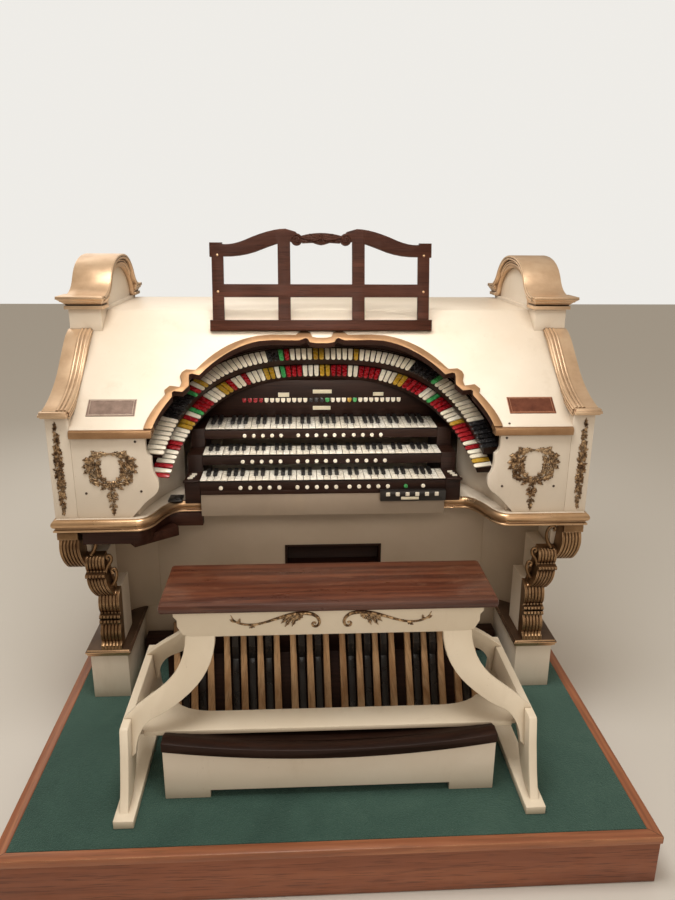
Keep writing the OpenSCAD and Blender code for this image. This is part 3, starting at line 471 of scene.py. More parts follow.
def cove(sign, front, back, flare_front, flare_back):
    """Hollow moulding under a crest's lip: a block whose sides sweep outwards as they rise."""
    bpy.ops.object.select_all(action="DESELECT")
    middle = (sign * 0.8245, HOME + (front + back) / 2, (CAP_LOW + CAP_HIGH) / 2)
    bpy.ops.mesh.primitive_cube_add(size=1, location=middle, scale=(0.117, back - front, CAP_HIGH - CAP_LOW))
    block = bpy.context.object
    bpy.ops.object.transform_apply(location=True, rotation=True, scale=True)
    bpy.ops.object.mode_set(mode="EDIT")
    for step in range(1, 7):
        bpy.ops.mesh.select_all(action="SELECT")
        bpy.ops.mesh.bisect(plane_co=(0, 0, CAP_LOW + (CAP_HIGH - CAP_LOW) * step / 7), plane_no=(0, 0, 1))
    bpy.ops.object.mode_set(mode="OBJECT")
    for vertex in block.data.vertices:
        sweep = CAP_OUT * max(0, (vertex.co.z - CAP_LOW) / (CAP_HIGH - CAP_LOW)) ** 1.3
        vertex.co.x += sign * (sweep if abs(vertex.co.x) > 0.82 else -sweep / 2)
        vertex.co.y += sweep * (flare_back if vertex.co.y > HOME + (front + back) / 2 else -flare_front)
    bpy.ops.object.shade_smooth_by_angle(angle=math.radians(40))
    return block


slope_line = [(y / 1000 + HOME, z / 1000) for y, z in
              bend((-126, 1212), (-20, 1235), (60, 1296))
              + bend((60, 1296), (110, 1340), (150, 1374), 5)[1:]
              + bend((150, 1374), (192, 1412), (234, 1419), 6)[1:]]
crest_line = [(y / 1000 + HOME, z / 1000) for y, z in
              bend((240, 1531), (316, 1533), (350, 1587))
              + bend((350, 1587), (402, 1662), (560, 1662), 12)[1:]
              + bend((560, 1662), (676, 1662), (734, 1587), 12)[1:]
              + bend((734, 1587), (768, 1535), (842, 1531))[1:]]
# Under each crest's lip, its foot is pulled in by this share of what stands out
FOOT_LOW, FOOT_HIGH, FOOT_PULLED_IN = 1.484, 1.5005, 0.45
for side, sign in (("left", -1), ("right", 1)):
    dress("slope_scroll_" + side, pale_gilding, 0.004, 50)
    crest = dress("crest_" + side, pale_gilding, 0.004, 50)
    for vertex in crest.data.vertices:
        if FOOT_LOW < vertex.co.z < FOOT_HIGH:
            for beyond, way, axis in ((sign * vertex.co.x - 0.880, sign, 0),
                                      (HOME + 0.235 - vertex.co.y, -1, 1),
                                      (vertex.co.y - HOME - 0.846, 1, 1)):
                if beyond > 0:
                    vertex.co[axis] -= way * beyond * FOOT_PULLED_IN
    reeds = [reed("reed", sign * 0.8045, slope_line, inset, 0.0042) for inset in (0.006, 0.0155, 0.025)]
    reeds += [reed("reed", sign * x, slope_line, 0.0026, 0.0062) for x in (0.8115, 0.8240, 0.8365)]
    reeds += [reed("reed", sign * 0.7545, crest_line, inset, 0.0042) for inset in (0.005, 0.014)]
    reeds += [reed("reed", sign * 0.7645, crest_line[9:-9], inset, 0.0042) for inset in (0.024, 0.033)]
    reeds += [cove(sign, 0.232, 0.311, 1, 0), cove(sign, 0.773, 0.849, 0, 1)]
    finish_piece(joined(reeds), "crest_reeds_" + side, pale_gilding, "gold_leaf")

# Brackets: three stacked volutes under each end of the desk, carved in lime, fluted down
# their fronts and finished in darker antique bronze; a painted core behind them carries
# the desk, and thin curled struts fill the steps between.
antique = gilded("antique_bronze", (0.150, 0.083, 0.040), (0.27, 0.160, 0.080), (0.42, 0.265, 0.140),
                 (0.85, 0.60, 0.37), 0.28, 1.0, 0.022)
# Inner and outer side, number of flutes, where they end below and above, the height under
# which the volute leans inwards and by how much, then its side outline in millimetres
VOLUTES = (
    (0.814, 0.880, 6, 0.660, 0.768, 0.745, 0.016,
     [(-122, 805), (-126, 792), (-126, 776), (-111, 770)]
     + bend((-114, 762), (-132, 716), (-106, 678), 9)
     + bend((-106, 678), (-94, 658), (-66, 653), 5)[1:] + [(-62, 805)]),
    (0.742, 0.806, 6, 0.550, 0.700, 0.630, 0.034,
     bend((-66, 708), (-100, 708), (-106, 682), 5)
     + bend((-106, 682), (-106, 662), (-97, 649), 5)[1:]
     + [(-100, 645), (-117, 642), (-121, 636), (-117, 630), (-102, 626)]
     + bend((-107, 620), (-126, 592), (-108, 562), 7)
     + bend((-108, 562), (-94, 546), (-66, 543), 5)[1:]),
    (0.702, 0.772, 6, 0.366, 0.566, 0.540, -0.004,
     bend((-66, 576), (-102, 574), (-112, 546), 5)
     + bend((-112, 546), (-122, 518), (-102, 494), 7)[1:]
     + [(-104, 490), (-117, 488), (-120, 482), (-117, 476), (-104, 473), (-117, 470), (-120, 463),
        (-117, 456), (-102, 452)]
     + bend((-105, 447), (-126, 416), (-104, 382), 7)
     + [(-108, 376), (-116, 371), (-116, 356), (-62, 356)]))

# Depth of a flute on the front and under the curl, and the depth where the front ends
FLUTE_IN, FLUTE_UP, FRONT_ENDS = 0.0034, 0.0030, -0.080


def volute(sign, low, high, flutes, bottom, top, lean_below, lean, outline):
    """Side outline laid on a flat ring, drawn out to its width, then grooved down its front."""
    bpy.ops.object.select_all(action="DESELECT")
    bpy.ops.mesh.primitive_circle_add(vertices=len(outline), fill_type="NGON")
    piece = bpy.context.object
    for vertex, (y, z) in zip(piece.data.vertices, outline):
        vertex.co = (sign * low, HOME + y / 1000, z / 1000)
    bpy.ops.object.mode_set(mode="EDIT")
    bpy.ops.mesh.select_all(action="SELECT")
    bpy.ops.mesh.extrude_region_move(TRANSFORM_OT_translate={"value": (sign * (high - low), 0, 0)})
    pitch = (high - low) / flutes
    for i in range(1, 4 * flutes):
        if i % 4 != 2:
            bpy.ops.mesh.select_all(action="SELECT")
            bpy.ops.mesh.bisect(plane_co=(sign * (low + pitch * i / 4), 0, 0), plane_no=(1, 0, 0))
    bpy.ops.mesh.select_all(action="SELECT")
    bpy.ops.mesh.normals_make_consistent(inside=False)
    bpy.ops.object.mode_set(mode="OBJECT")
    for vertex in piece.data.vertices:
        step = (abs(vertex.co.x) - low) / pitch
        if 0.3 < step < flutes - 0.3 and abs(step - round(step)) < 0.05 and bottom < vertex.co.z < top:
            vertex.co.y += FLUTE_IN if vertex.co.y < HOME + FRONT_ENDS else 0
            if vertex.co.y >= HOME + FRONT_ENDS and vertex.co.z < (bottom + top) / 2:
                vertex.co.z += FLUTE_UP
    for vertex in piece.data.vertices:
        vertex.co.x -= sign * lean * min(1, max(0, (lean_below - vertex.co.z) / (lean_below - bottom))) ** 1.5
    bpy.ops.object.shade_smooth_by_angle(angle=math.radians(38))
    return piece


def stem(name, front_y, points, radii):
    """Tapering round stem that lies against a wall facing the player."""
    line, spline = rod(name, "BEZIER", 1.0)
    spline.bezier_points.add(len(points) - 1)
    for knot, (x, z), radius in zip(spline.bezier_points, points, radii):
        knot.co, knot.radius = (x, front_y, z), radius
        knot.handle_left_type = knot.handle_right_type = "AUTO"
    spline.resolution_u = 5
    made = as_mesh(name, line)
    bpy.ops.object.shade_smooth()
    return made


# Curled struts: each a run of points, across and up, with the thickness at each point
CURLS = (((742, 582), (725, 592), (711, 614), (707, 640), (714, 654), (723, 646), (718, 637)),
         ((746, 630), (735, 664), (722, 684), (722, 699), (732, 703), (734, 691), (728, 690)),
         ((786, 706), (772, 730), (767, 760), (775, 780), (788, 785), (796, 774), (788, 771)))
CURL_R = (0.0068, 0.0066, 0.0058, 0.0052, 0.0052, 0.0060, 0.0072)
for side, sign in (("left", -1), ("right", 1)):
    carved = [volute(sign, *sizes) for sizes in VOLUTES]
    carved += [stem("curl", HOME - 0.092, [(sign * x / 1000, z / 1000) for x, z in curl], CURL_R)
               for curl in CURLS]
    finish_piece(joined(carved), "bracket_scrolls_" + side, antique, "gold_leaf", "bracket_" + side)
    bpy.ops.object.select_all(action="DESELECT")
    core = []
    for low, high, bottom, top in ((0.708, 0.770, 0.355, 0.566), (0.744, 0.790, 0.560, 0.700),
                                   (0.790, 0.872, 0.690, 0.805)):
        middle = (sign * (low + high) / 2, HOME - 0.003, (bottom + top) / 2)
        bpy.ops.mesh.primitive_cube_add(size=1, location=middle, scale=(high - low, 0.128, top - bottom))
        bpy.ops.object.transform_apply(location=True, rotation=True, scale=True)
        bpy.ops.object.mode_set(mode="EDIT")
        bpy.ops.mesh.bevel(offset=0.002, segments=2, affect="EDGES")
        bpy.ops.object.mode_set(mode="OBJECT")
        core.append(bpy.context.object)
    finish_piece(joined(core), "bracket_core_" + side, case_paint, "cream_paint", "bracket_" + side)

# Caps of the pedestals: nearly black old bronze on top, their front lips kept bright
cap_bronze = gilded("blackened_bronze", (0.050, 0.028, 0.017), (0.085, 0.048, 0.028), (0.13, 0.078, 0.045),
                    (0.50, 0.30, 0.18), 0.36, 1.0, 0.03, 0.5)
caps = dress("pedestal_caps", cap_bronze, 0.0025)
second_finish(caps, gilding, lambda centre, facing: facing.y < -0.4)


# Carved ornaments: wreaths on the wing panels, drops of foliage on the pilasters and
# scrolls on the bench, cast in composition, glued on and gilded in the same old bronze.
def leaf_mesh():
    """One curled leaf, its stem at the origin, its tip one unit up the second axis."""
    bpy.ops.object.select_all(action="DESELECT")
    bpy.ops.mesh.primitive_grid_add(x_subdivisions=6, y_subdivisions=9, size=1)
    leaf = bpy.context.object
    for vertex in leaf.data.vertices:
        across, along = vertex.co.x * 2, vertex.co.y + 0.5
        width = math.sin(math.pi * min(1, along * 0.92 + 0.08) ** 0.8) * (0.25 + 0.09 * math.cos(along * 19))
        edge = 1 - across * across
        midrib = 1 - 0.7 * math.exp(-(across * 4) ** 2)
        rise = 0.30 * math.sqrt(max(0, edge)) * midrib * (0.5 + 0.9 * along - along ** 4)
        vertex.co = (across * width, along, max(0, rise) + (0.02 if edge > 0.01 else -0.02))
    bpy.ops.object.mode_set(mode="EDIT")
    bpy.ops.mesh.select_all(action="SELECT")
    bpy.ops.mesh.normals_make_consistent(inside=False)
    bpy.ops.object.mode_set(mode="OBJECT")
    bpy.ops.object.shade_smooth()
    mesh = leaf.data
    if mesh.polygons[20].normal.z < 0:
        mesh.flip_normals()
    bpy.data.objects.remove(leaf)
    return mesh


# How far a leaf stands out of its wall, as a share of the lift that is written for it
CURL_OUT = 1.7


def carving(name, front_y, parts, mirror=1, base=None):
    """Leaves on a wall that faces the player: each is x, height, heading, length, width, lift."""
    made = list(base or [])
    for x, z, heading, length, width, lift in parts:
        a = math.radians(heading if mirror > 0 else 180 - heading)
        turned = Matrix(((math.sin(a) * width, math.cos(a) * length, 0, x * mirror),
                         (0, 0, -lift * CURL_OUT, front_y),
                         (-math.cos(a) * width, math.sin(a) * length, 0, z), (0, 0, 0, 1)))
        mesh = leaf.copy()
        mesh.transform(turned)
        made.append(linked(name, mesh))
    return finish_piece(joined(made), name, old_leaf, "gold_leaf")


def bloom(x, z, radius, petals=6, lift=0.011, start=0):
    """A flower of short broad leaves round a bud."""
    outer = [(x, z, start + k * 360 / petals, radius, radius * 1.25, lift) for k in range(petals)]
    return outer + [(x, z, start + 30 + k * 120, radius * 0.5, radius * 0.8, lift * 1.6) for k in range(3)]


leaf = leaf_mesh()
old_leaf = gilded("carved_bronze", (0.040, 0.020, 0.010), (0.21, 0.120, 0.056), (0.66, 0.45, 0.25),
                  (0.95, 0.74, 0.48), 0.27, 1.0, 0.009, 0.7, 95, 0.006, 0.11)
WREATH_X, WREATH_Z = 0.690, 1.018
# Leaves of half a wreath: across, up, heading, length and width in mm, then lift
WREATH_LEAVES = (
    (2, 58, 0, 30, 22, 0.012), (12, 56, 20, 26, 30, 0.012), (26, 58, -8, 36, 38, 0.016),
    (40, 56, 40, 22, 30, 0.012), (34, 40, 52, 34, 44, 0.016), (44, 50, -35, 44, 40, 0.016),
    (52, 34, 5, 34, 44, 0.016), (58, 26, -62, 36, 44, 0.015), (66, 12, -5, 24, 34, 0.012),
    (56, -2, 100, 34, 34, 0.013), (64, -2, -28, 26, 32, 0.012), (40, -44, 28, 34, 34, 0.014),
    (56, -26, -60, 24, 30, 0.012), (30, -50, 5, 34, 36, 0.014), (10, -60, 24, 32, 34, 0.014),
    (16, -58, -30, 26, 26, 0.012), (4, -64, 75, 26, 26, 0.014), (26, -44, 120, 20, 24, 0.012),
    (46, -34, 130, 22, 28, 0.012), (44, 22, 150, 22, 26, 0.012), (3, -80, -35, 20, 20, 0.012),
    (2, -122, -40, 16, 18, 0.012), (34, 34, -70, 32, 36, 0.014), (40, 12, -100, 32, 36, 0.015),
    (42, -8, -120, 28, 32, 0.013), (36, -30, -150, 26, 30, 0.014), (20, -50, 165, 24, 28, 0.013),
    (64, 30, -80, 26, 28, 0.012), (70, -14, 95, 24, 26, 0.012), (58, -36, 60, 24, 26, 0.012),
    (22, 50, 8, 26, 26, 0.014))
wreath = []
for half in (-1, 1):
    for x, z, heading, length, width, lift in WREATH_LEAVES:
        wreath.append((WREATH_X + half * x / 1000, WREATH_Z + min(z, z * 0.86) / 1000,
                       heading if half > 0 else 180 - heading, length / 1000, width / 1000, lift))
    wreath += bloom(WREATH_X + half * 0.052, WREATH_Z - 0.014, 0.017, 6, 0.012)
for down, radius, petals, lift, start in ((0.066, 0.015, 5, 0.014, 0), (0.099, 0.020, 6, 0.013, 15),
                                          (0.126, 0.010, 5, 0.010, 0)):
    wreath += bloom(WREATH_X, WREATH_Z - down, radius, petals, lift, start)
wreath.append((WREATH_X, 0.888, -90, 0.032, 0.030, 0.010))
# A drop of foliage swells and tapers again; every third tuft is a flower
TUFTS = 24
drop = []
for k in range(TUFTS):
    t = (k + 0.5) / TUFTS
    z, reach = 1.172 - 0.306 * t, 0.005 + 0.0125 * math.sin(math.pi * t) ** 0.85
    sway = 0.850 + 0.002 * math.sin(k * 1.7)
    if k % 3 == 1:
        drop += bloom(sway, z, reach * 0.95, 5, 0.010, k * 25)
    else:
        drop += [(sway, z, -60 - 8 * (k % 2), reach * 1.7, reach * 1.9, 0.012),
                 (sway, z, 240 + 9 * (k % 2), reach * 1.7, reach * 1.9, 0.012),
                 (sway, z, 150 if k % 2 else 25, reach * 1.2, reach * 1.3, 0.009)]
drop += [(0.850, 1.150, 90, 0.028, 0.020, 0.008), (0.850, 0.885, -90, 0.026, 0.022, 0.009)]
# The bare hoop that shows between the leaves at the top of a wreath, in millimetres
HOOP = ((-40, 40), (-27, 49), (-12, 52), (0, 51), (12, 52), (27, 49), (40, 40))
for side, sign in (("left", -1), ("right", 1)):
    hoop = stem("stem", HOME - 0.1215, [(sign * WREATH_X + x / 1000, WREATH_Z + z / 1000) for x, z in HOOP],
                [0.0028] * len(HOOP))
    carving("wreath_" + side, HOME - 0.1200, wreath, sign, [hoop])
    carving("foliage_drop_" + side, HOME - 0.1210, drop, sign)

# Bench scroll: points of its stem, across and up, the thickness at each, then its leaves
SCROLL = [(-0.286, 0.705), (-0.277, 0.688), (-0.256, 0.677), (-0.222, 0.674), (-0.190, 0.680),
          (-0.160, 0.690), (-0.125, 0.701), (-0.095, 0.707), (-0.066, 0.707), (-0.046, 0.700),
          (-0.034, 0.685), (-0.034, 0.671), (-0.044, 0.664), (-0.053, 0.670), (-0.049, 0.677),
          (-0.043, 0.674)]
SCROLL_R = [0.0012, 0.0026, 0.0034, 0.0034, 0.0036, 0.0042, 0.0052, 0.0060, 0.0058, 0.0052, 0.0046,
            0.0040, 0.0038, 0.0034, 0.0030, 0.0034]
SPRIG = [(-0.272, 0.683, 150, 0.018, 0.018, 0.008), (-0.262, 0.680, 75, 0.016, 0.016, 0.008),
         (-0.214, 0.674, -150, 0.022, 0.024, 0.008), (-0.196, 0.678, -165, 0.018, 0.016, 0.008),
         (-0.112, 0.703, -138, 0.040, 0.026, 0.012), (-0.106, 0.701, -124, 0.044, 0.026, 0.014),
         (-0.096, 0.700, -112, 0.038, 0.026, 0.012), (-0.084, 0.703, -150, 0.034, 0.024, 0.012),
         (-0.078, 0.704, -128, 0.026, 0.022, 0.010), (-0.120, 0.700, -160, 0.026, 0.020, 0.010)]
SEAT_FRONT = HOME - 0.512
for side, sign in (("left", 1), ("right", -1)):
    curl = stem("stem", SEAT_FRONT, [(0.005 + sign * (x - 0.003), z) for x, z in SCROLL], SCROLL_R)
    inwards = 0.0 if sign > 0 else -0.01
    sprig = [(x + inwards, z, heading, length, width, lift) for x, z, heading, length, width, lift in SPRIG]
    carving("bench_scroll_" + side, SEAT_FRONT, sprig, sign, [curl])


# Studs: small round heads of blued iron, driven through the wing panels and the lid
def stud(place, tilt, radius=0.0042, height=0.55):
    bpy.ops.object.select_all(action="DESELECT")
    bpy.ops.mesh.primitive_uv_sphere_add(segments=12, ring_count=8, radius=radius, location=place,
                                         rotation=(tilt, 0, 0), scale=(1, 1, height))
    bpy.ops.object.transform_apply(location=True, rotation=True, scale=True)
    bpy.ops.object.shade_smooth()
    return bpy.context.object


dark_iron, tree = empty_material("blued_stud")
vector = object_vector(tree)
blued = mixed(tree, noise(tree, vector, 300, 3), (0.03, 0.022, 0.018, 1), (0.10, 0.07, 0.05, 1))
shaded(tree, Base_Color=blued, Metallic=0.6,
       Roughness=between(tree, noise(tree, vector, 180, 2), 0.3, 0.7, 0.3, 0.55))
WING_FRONT = HOME - 0.1205
heads = [stud((x, WING_FRONT, z), math.pi / 2) for x, z in (
    (-0.605, 1.109), (-0.773, 0.936), (-0.597, 0.941), (0.593, 1.111), (0.589, 0.944), (0.764, 0.942))]
SLOPE, LID_Y, LID_Z = math.radians(36), -0.130, 1.146


def on_lid(x, up, out=0.0):
    """A point on the sloped lid: distance across, up the slope, and out of its face."""
    return Vector((x, HOME + LID_Y + up * math.cos(SLOPE) - out * math.sin(SLOPE),
                   LID_Z + up * math.sin(SLOPE) + out * math.cos(SLOPE)))


heads.append(stud(on_lid(0.600, 0.020), SLOPE))
finish_piece(joined(heads), "panel_studs", dark_iron, "black_box")

# Blank plates on the lid: thin etched metal, one pewter and one copper, each with a
# raised border line and a darker field.
PLATE_X, PLATE_UP, PLATE_W, PLATE_H = 0.687, 0.097, 0.154, 0.070
RIM_WIDTH, LINE_STARTS, LINE_ENDS = 0.0011, 0.0062, 0.0088


def from_the_edge(centre):
    """How far a point of a plate lies from the plate's nearest edge."""
    up = (centre.z - LID_Z) / math.sin(SLOPE)
    return min(PLATE_W / 2 - abs(abs(centre.x) - PLATE_X), PLATE_H / 2 - abs(up - PLATE_UP))


for side, sign, metal, field, line_tone in (
        ("left", -1, (0.30, 0.215, 0.175), (0.20, 0.14, 0.115), (0.66, 0.54, 0.45)),
        ("right", 1, (0.23, 0.080, 0.045), (0.135, 0.043, 0.026), (0.66, 0.33, 0.20))):
    bpy.ops.object.select_all(action="DESELECT")
    bpy.ops.mesh.primitive_plane_add(size=1)
    plate = bpy.context.object
    plate.matrix_world = (Matrix.Translation(on_lid(sign * PLATE_X, PLATE_UP))
                          @ Matrix.Rotation(SLOPE, 4, "X") @ Matrix.Diagonal((PLATE_W, PLATE_H, 1, 1)))
    bpy.ops.object.transform_apply(location=True, rotation=True, scale=True)
    bpy.ops.object.mode_set(mode="EDIT")
    bpy.ops.mesh.select_all(action="SELECT")
    bpy.ops.mesh.extrude_region_shrink_fatten(TRANSFORM_OT_shrink_fatten={"value": 0.0022})
    for width, rise in ((0.0012, 0.0008), (0.0050, 0), (0.0005, 0.0006), (0.0013, 0), (0.0006, -0.0006),
                        (0.0025, 0)):
        bpy.ops.mesh.inset(thickness=width, depth=rise)
    bpy.ops.object.mode_set(mode="OBJECT")
    bpy.ops.object.shade_smooth_by_angle(angle=math.radians(30))
    etched, tree = empty_material("etched_plate_" + side)
    vector = object_vector(tree)
    patch = noise(tree, vector, 30, 6, 0.7)
    colour = mixed(tree, between(tree, patch, 0.35, 0.65), (*field, 1), (*metal, 1))
    wear_and_shade = use(tree, edge_wear_and_corner_shade, {"Vector": vector, "Radius": 0.0008, "Reach": 0.003, "Patches": 60.0})
    colour = tinted(tree, colour, wear_and_shade["Edge"], 1.0, line_tone)
    scratched = noise(tree, object_vector(tree, (0, 0, 0.6), (400, 12, 12)), 1, 2)
    shaded(tree, Base_Color=colour, Metallic=0.7, Roughness=between(tree, patch, 0.3, 0.7, 0.34, 0.5),
           Normal=bumped(tree, 0.1, 0.0003, scratched))
    finish_piece(plate, "lid_plate_" + side, etched, "plaque", "plaques")
    bright, tree = empty_material("plate_line_" + side)
    patch = noise(tree, object_vector(tree), 90, 4, 0.7)
    shaded(tree, Base_Color=mixed(tree, patch, (*metal, 1), (*line_tone, 1)), Metallic=0.7,
           Roughness=between(tree, patch, 0.3, 0.7, 0.28, 0.42))
    second_finish(plate, bright, lambda centre, facing: LINE_STARTS < from_the_edge(centre) < LINE_ENDS
                  or from_the_edge(centre) < RIM_WIDTH)

# Dark woodwork: key frames, tab rails and inner walls, of walnut that is stained nearly
# black and rubbed down, so that it hardly shines.
stained = wood("black_walnut", (0.010, 0.0035, 0.002), (0.021, 0.0078, 0.0045), (0.040, 0.016, 0.0095), 1.5,
               rough=0.42, gloss=0.22)
inner_wall = wood("stained_wall", (0.022, 0.007, 0.004), (0.042, 0.014, 0.008), (0.070, 0.026, 0.015), 1.5,
                  rough=0.46, gloss=0.22)
# The pedal bearers carry a dark board under the pedals; its darkness partly stands for the shade between
# them, a painted shade
for node in ("slot_frame", "keyboard_frame", "stop_rail_outer", "stop_rail_inner", "back_board",
             "pedal_heel_rail", "pedal_bearers"):
    dress(node, stained, 0.004 if node == "pedal_heel_rail" else 0.0012)
dress("recess_wall", inner_wall)

# Under the left of the desk: the box's front board, and behind it a lower case set askew
BOARD_MIDDLE, BOARD_DEEPER = 0.775, 0.012
box_board = dress("under_desk_box", inner_wall)
for vertex in box_board.data.vertices:
    if vertex.co.z < BOARD_MIDDLE:
        vertex.co.z -= BOARD_DEEPER
bpy.ops.object.select_all(action="DESELECT")
bpy.ops.mesh.primitive_cube_add(size=1, location=(-0.6055, HOME - 0.007, 0.752),
                                rotation=(0, 0, math.radians(36.6)), scale=(0.164, 0.120, 0.034))
bpy.ops.object.transform_apply(location=True, rotation=True, scale=True)
bpy.ops.object.mode_set(mode="EDIT")
bpy.ops.mesh.bevel(offset=0.0015, segments=2, affect="EDGES")
bpy.ops.object.mode_set(mode="OBJECT")
bpy.ops.object.shade_smooth_by_angle(angle=math.radians(40))
finish_piece(bpy.context.object, "under_desk_case", inner_wall, "dark_wood")

# Horseshoe moulding round the opening: a half-round gilt bead in a gilt written darker, a painted shade
# where the lamps light it strongly; its inner side is stained dark like the recess that it frames, partly
# painted shade
shaded_gilding = gilded("shaded_gilding", (0.34, 0.19, 0.095), (0.43, 0.255, 0.135), (0.52, 0.33, 0.185),
                      (0.72, 0.50, 0.30), 0.42)
rim = dress("lid_moulding", shaded_gilding, 0.0052, 40, 4)
second_finish(rim, inner_wall, lambda centre, facing: centre.y > HOME - 0.112 and (
    centre - on_lid(0, 0, 0.0005)).dot(Vector((0, -math.sin(SLOPE), math.cos(SLOPE)))) < 0)


# Stop tabs: moulded tongues with eased edges, in five colours that name their families.
# The tabs are blank. Each has its own slight tone, and rows keep the real colour order.
def islands(mesh):
    """Loose parts of a mesh: the centre and the faces of each."""
    root = list(range(len(mesh.vertices)))

    def top(i):
        while root[i] != i:
            root[i] = root[root[i]]
            i = root[i]
        return i
    for mesh_edge in mesh.edges:
        root[top(mesh_edge.vertices[0])] = top(mesh_edge.vertices[1])
    parts = {}
    for face in mesh.polygons:
        parts.setdefault(top(face.vertices[0]), []).append(face)
    return [(sum((face.center for face in faces), Vector()) / len(faces), faces) for faces in parts.values()]


def toned(piece, seed):
    """Gives every loose part its own value of the attribute tone, from 0 to 1."""
    random.seed(seed)
    tone = piece.data.attributes.new("tone", "FLOAT", "FACE")
    for _, faces in sorted(islands(piece.data), key=lambda part: tuple(part[0])):
        value = random.random()
        for face in faces:
            tone.data[face.index].value = value


def resized(piece, wide, high=1.0, drop=0.0):
    """Makes every loose part wider or higher about its own centre, and lowers it."""
    for centre, faces in islands(piece.data):
        for i in {i for face in faces for i in face.vertices}:
            place = piece.data.vertices[i].co
            place.x = centre.x + (place.x - centre.x) * wide
            place.z = centre.z + (place.z - centre.z) * high - drop


def slimmed(piece, share):
    """Narrows every loose part about its own long axis, which opens the gaps between them."""
    for centre, faces in islands(piece.data):
        corners = {i for face in faces for i in face.vertices}
        arms = [piece.data.vertices[i].co - centre for i in corners]
        axis = Vector((0.3, 0.5, 0.8))
        for _ in range(12):
            axis = sum((arm * arm.dot(axis) for arm in arms), Vector()).normalized()
        for i, arm in zip(corners, arms):
            down_axis = axis * arm.dot(axis)
            piece.data.vertices[i].co = centre + down_axis + (arm - down_axis) * share


def cover(name, low, high, dirt_and_shade, rough=0.2, coat=0.35, gloss=0.5):
    """Cast plastic: tone changes a little from piece to piece, handled edges, corners darkened by grime and
    painted shade.
    """
    made, tree = empty_material(name)
    vector = object_vector(tree)
    own = put(tree, "Attribute", attribute_name="tone").outputs["Fac"]
    colour = mixed(tree, math_of(tree, "MULTIPLY_ADD", noise(tree, vector, 55, 4), 0.4, math_of(
        tree, "MULTIPLY", own, 0.6)), (*low, 1), (*high, 1))
    wear_and_shade = use(tree, edge_wear_and_corner_shade, {"Vector": vector, "Radius": 0.001, "Reach": 0.004, "Patches": 70.0})
    # Corners darkened: part grime, part painted shade
    colour = tinted(tree, colour, wear_and_shade["Corner_grime_and_shade"], 0.4, dirt_and_shade)
    colour = tinted(tree, colour, wear_and_shade["Edge"], 0.08, [min(1, c * 1.5 + 0.02) for c in high])
    smears = noise(tree, vector, 90, 3)
    shaded(tree, Base_Color=colour, Roughness=between(tree, smears, 0.3, 0.7, rough, rough + 0.14),
           Coat_Weight=coat, Coat_Roughness=0.12, Specular_IOR_Level=gloss,
           Normal=bumped(tree, 0.06, 0.0003, smears))
    return made


COVERS = {
    "W": ("white", cover("tab_ivory", (0.80, 0.72, 0.57), (0.93, 0.88, 0.76), (0.30, 0.20, 0.12)), "ivory"),
    "K": ("black", cover("tab_black", (0.008, 0.008, 0.009), (0.028, 0.028, 0.031), (0.004, 0.003, 0.003)),
          "ebony"),
    "R": ("red", cover("tab_red", (0.26, 0.009, 0.014), (0.40, 0.020, 0.026), (0.08, 0.006, 0.006)),
          "red_tab"),
    "G": ("green", cover("tab_green", (0.035, 0.26, 0.07), (0.07, 0.40, 0.12), (0.01, 0.06, 0.02)),
          "red_tab"),
    "A": ("amber", cover("tab_amber", (0.42, 0.24, 0.022), (0.58, 0.36, 0.05), (0.14, 0.07, 0.01)),
          "red_tab")}

# The rails lean back and their arches start below the lowest keys. For each row: half
# width, height and power of its arch, its crown, the pitch, its stretch and its shift.
RAIL_LEAN, RAIL_Y, ARCH_FOOT = math.radians(30), -0.100, -0.300
ARCHES = {"stop_tabs_outer": ((0.600, 0.856, 2.8), 1.043, 0.0212, 1.048, -0.008),
          "stop_tabs_inner": ((0.584, 0.867, 2.7), 0.973, 0.0212, 1.030, -0.016)}


def spaced(row, order, shape, crown_z, pitch, stretch, shift):
    """Slides a row's tabs along their superelliptical arch, so that the spaces between them grow."""
    across, tall, power = shape
    steps = 4500
    rim, run = [], [0.0]
    for k in range(steps + 1):
        t = math.pi * (1 - k / steps)
        r = (abs(math.cos(t) / across) ** power + abs(math.sin(t) / tall) ** power) ** (-1 / power)
        rim.append(Vector((r * math.cos(t), r * math.sin(t) + ARCH_FOOT)))
    for a, b in zip(rim, rim[1:]):
        run.append(run[-1] + (b - a).length)
    crown = run[steps // 2]

    def seat(s):
        """The point and the heading of the arch at a distance from its crown."""
        k = min(max(bisect.bisect(run, s + crown), 3), steps - 3)
        ahead = rim[k + 2] - rim[k - 3]
        share = (s + crown - run[k - 1]) / (run[k] - run[k - 1])
        return rim[k - 1].lerp(rim[k], share), math.atan2(ahead.y, ahead.x)

    lean_y, lean_z = math.cos(RAIL_LEAN), math.sin(RAIL_LEAN)
    parts = sorted(islands(row.data), key=lambda part: order(part[0]))
    for i, (_, faces) in enumerate(parts):
        s = (i - (len(parts) - 1) / 2) * pitch
        (old, was), (new, now) = seat(s), seat(s * stretch + shift)
        turn = Matrix.Rotation(now - was, 2)
        for j in {j for face in faces for j in face.vertices}:
            place = row.data.vertices[j].co
            y, z = place.y - HOME - RAIL_Y, place.z - crown_z
            out = z * lean_y - y * lean_z
            place.x, up = new + turn @ (Vector((place.x, y * lean_y + z * lean_z)) - old)
            place.y = HOME + RAIL_Y + up * lean_y - out * lean_z
            place.z = crown_z + up * lean_z + out * lean_y


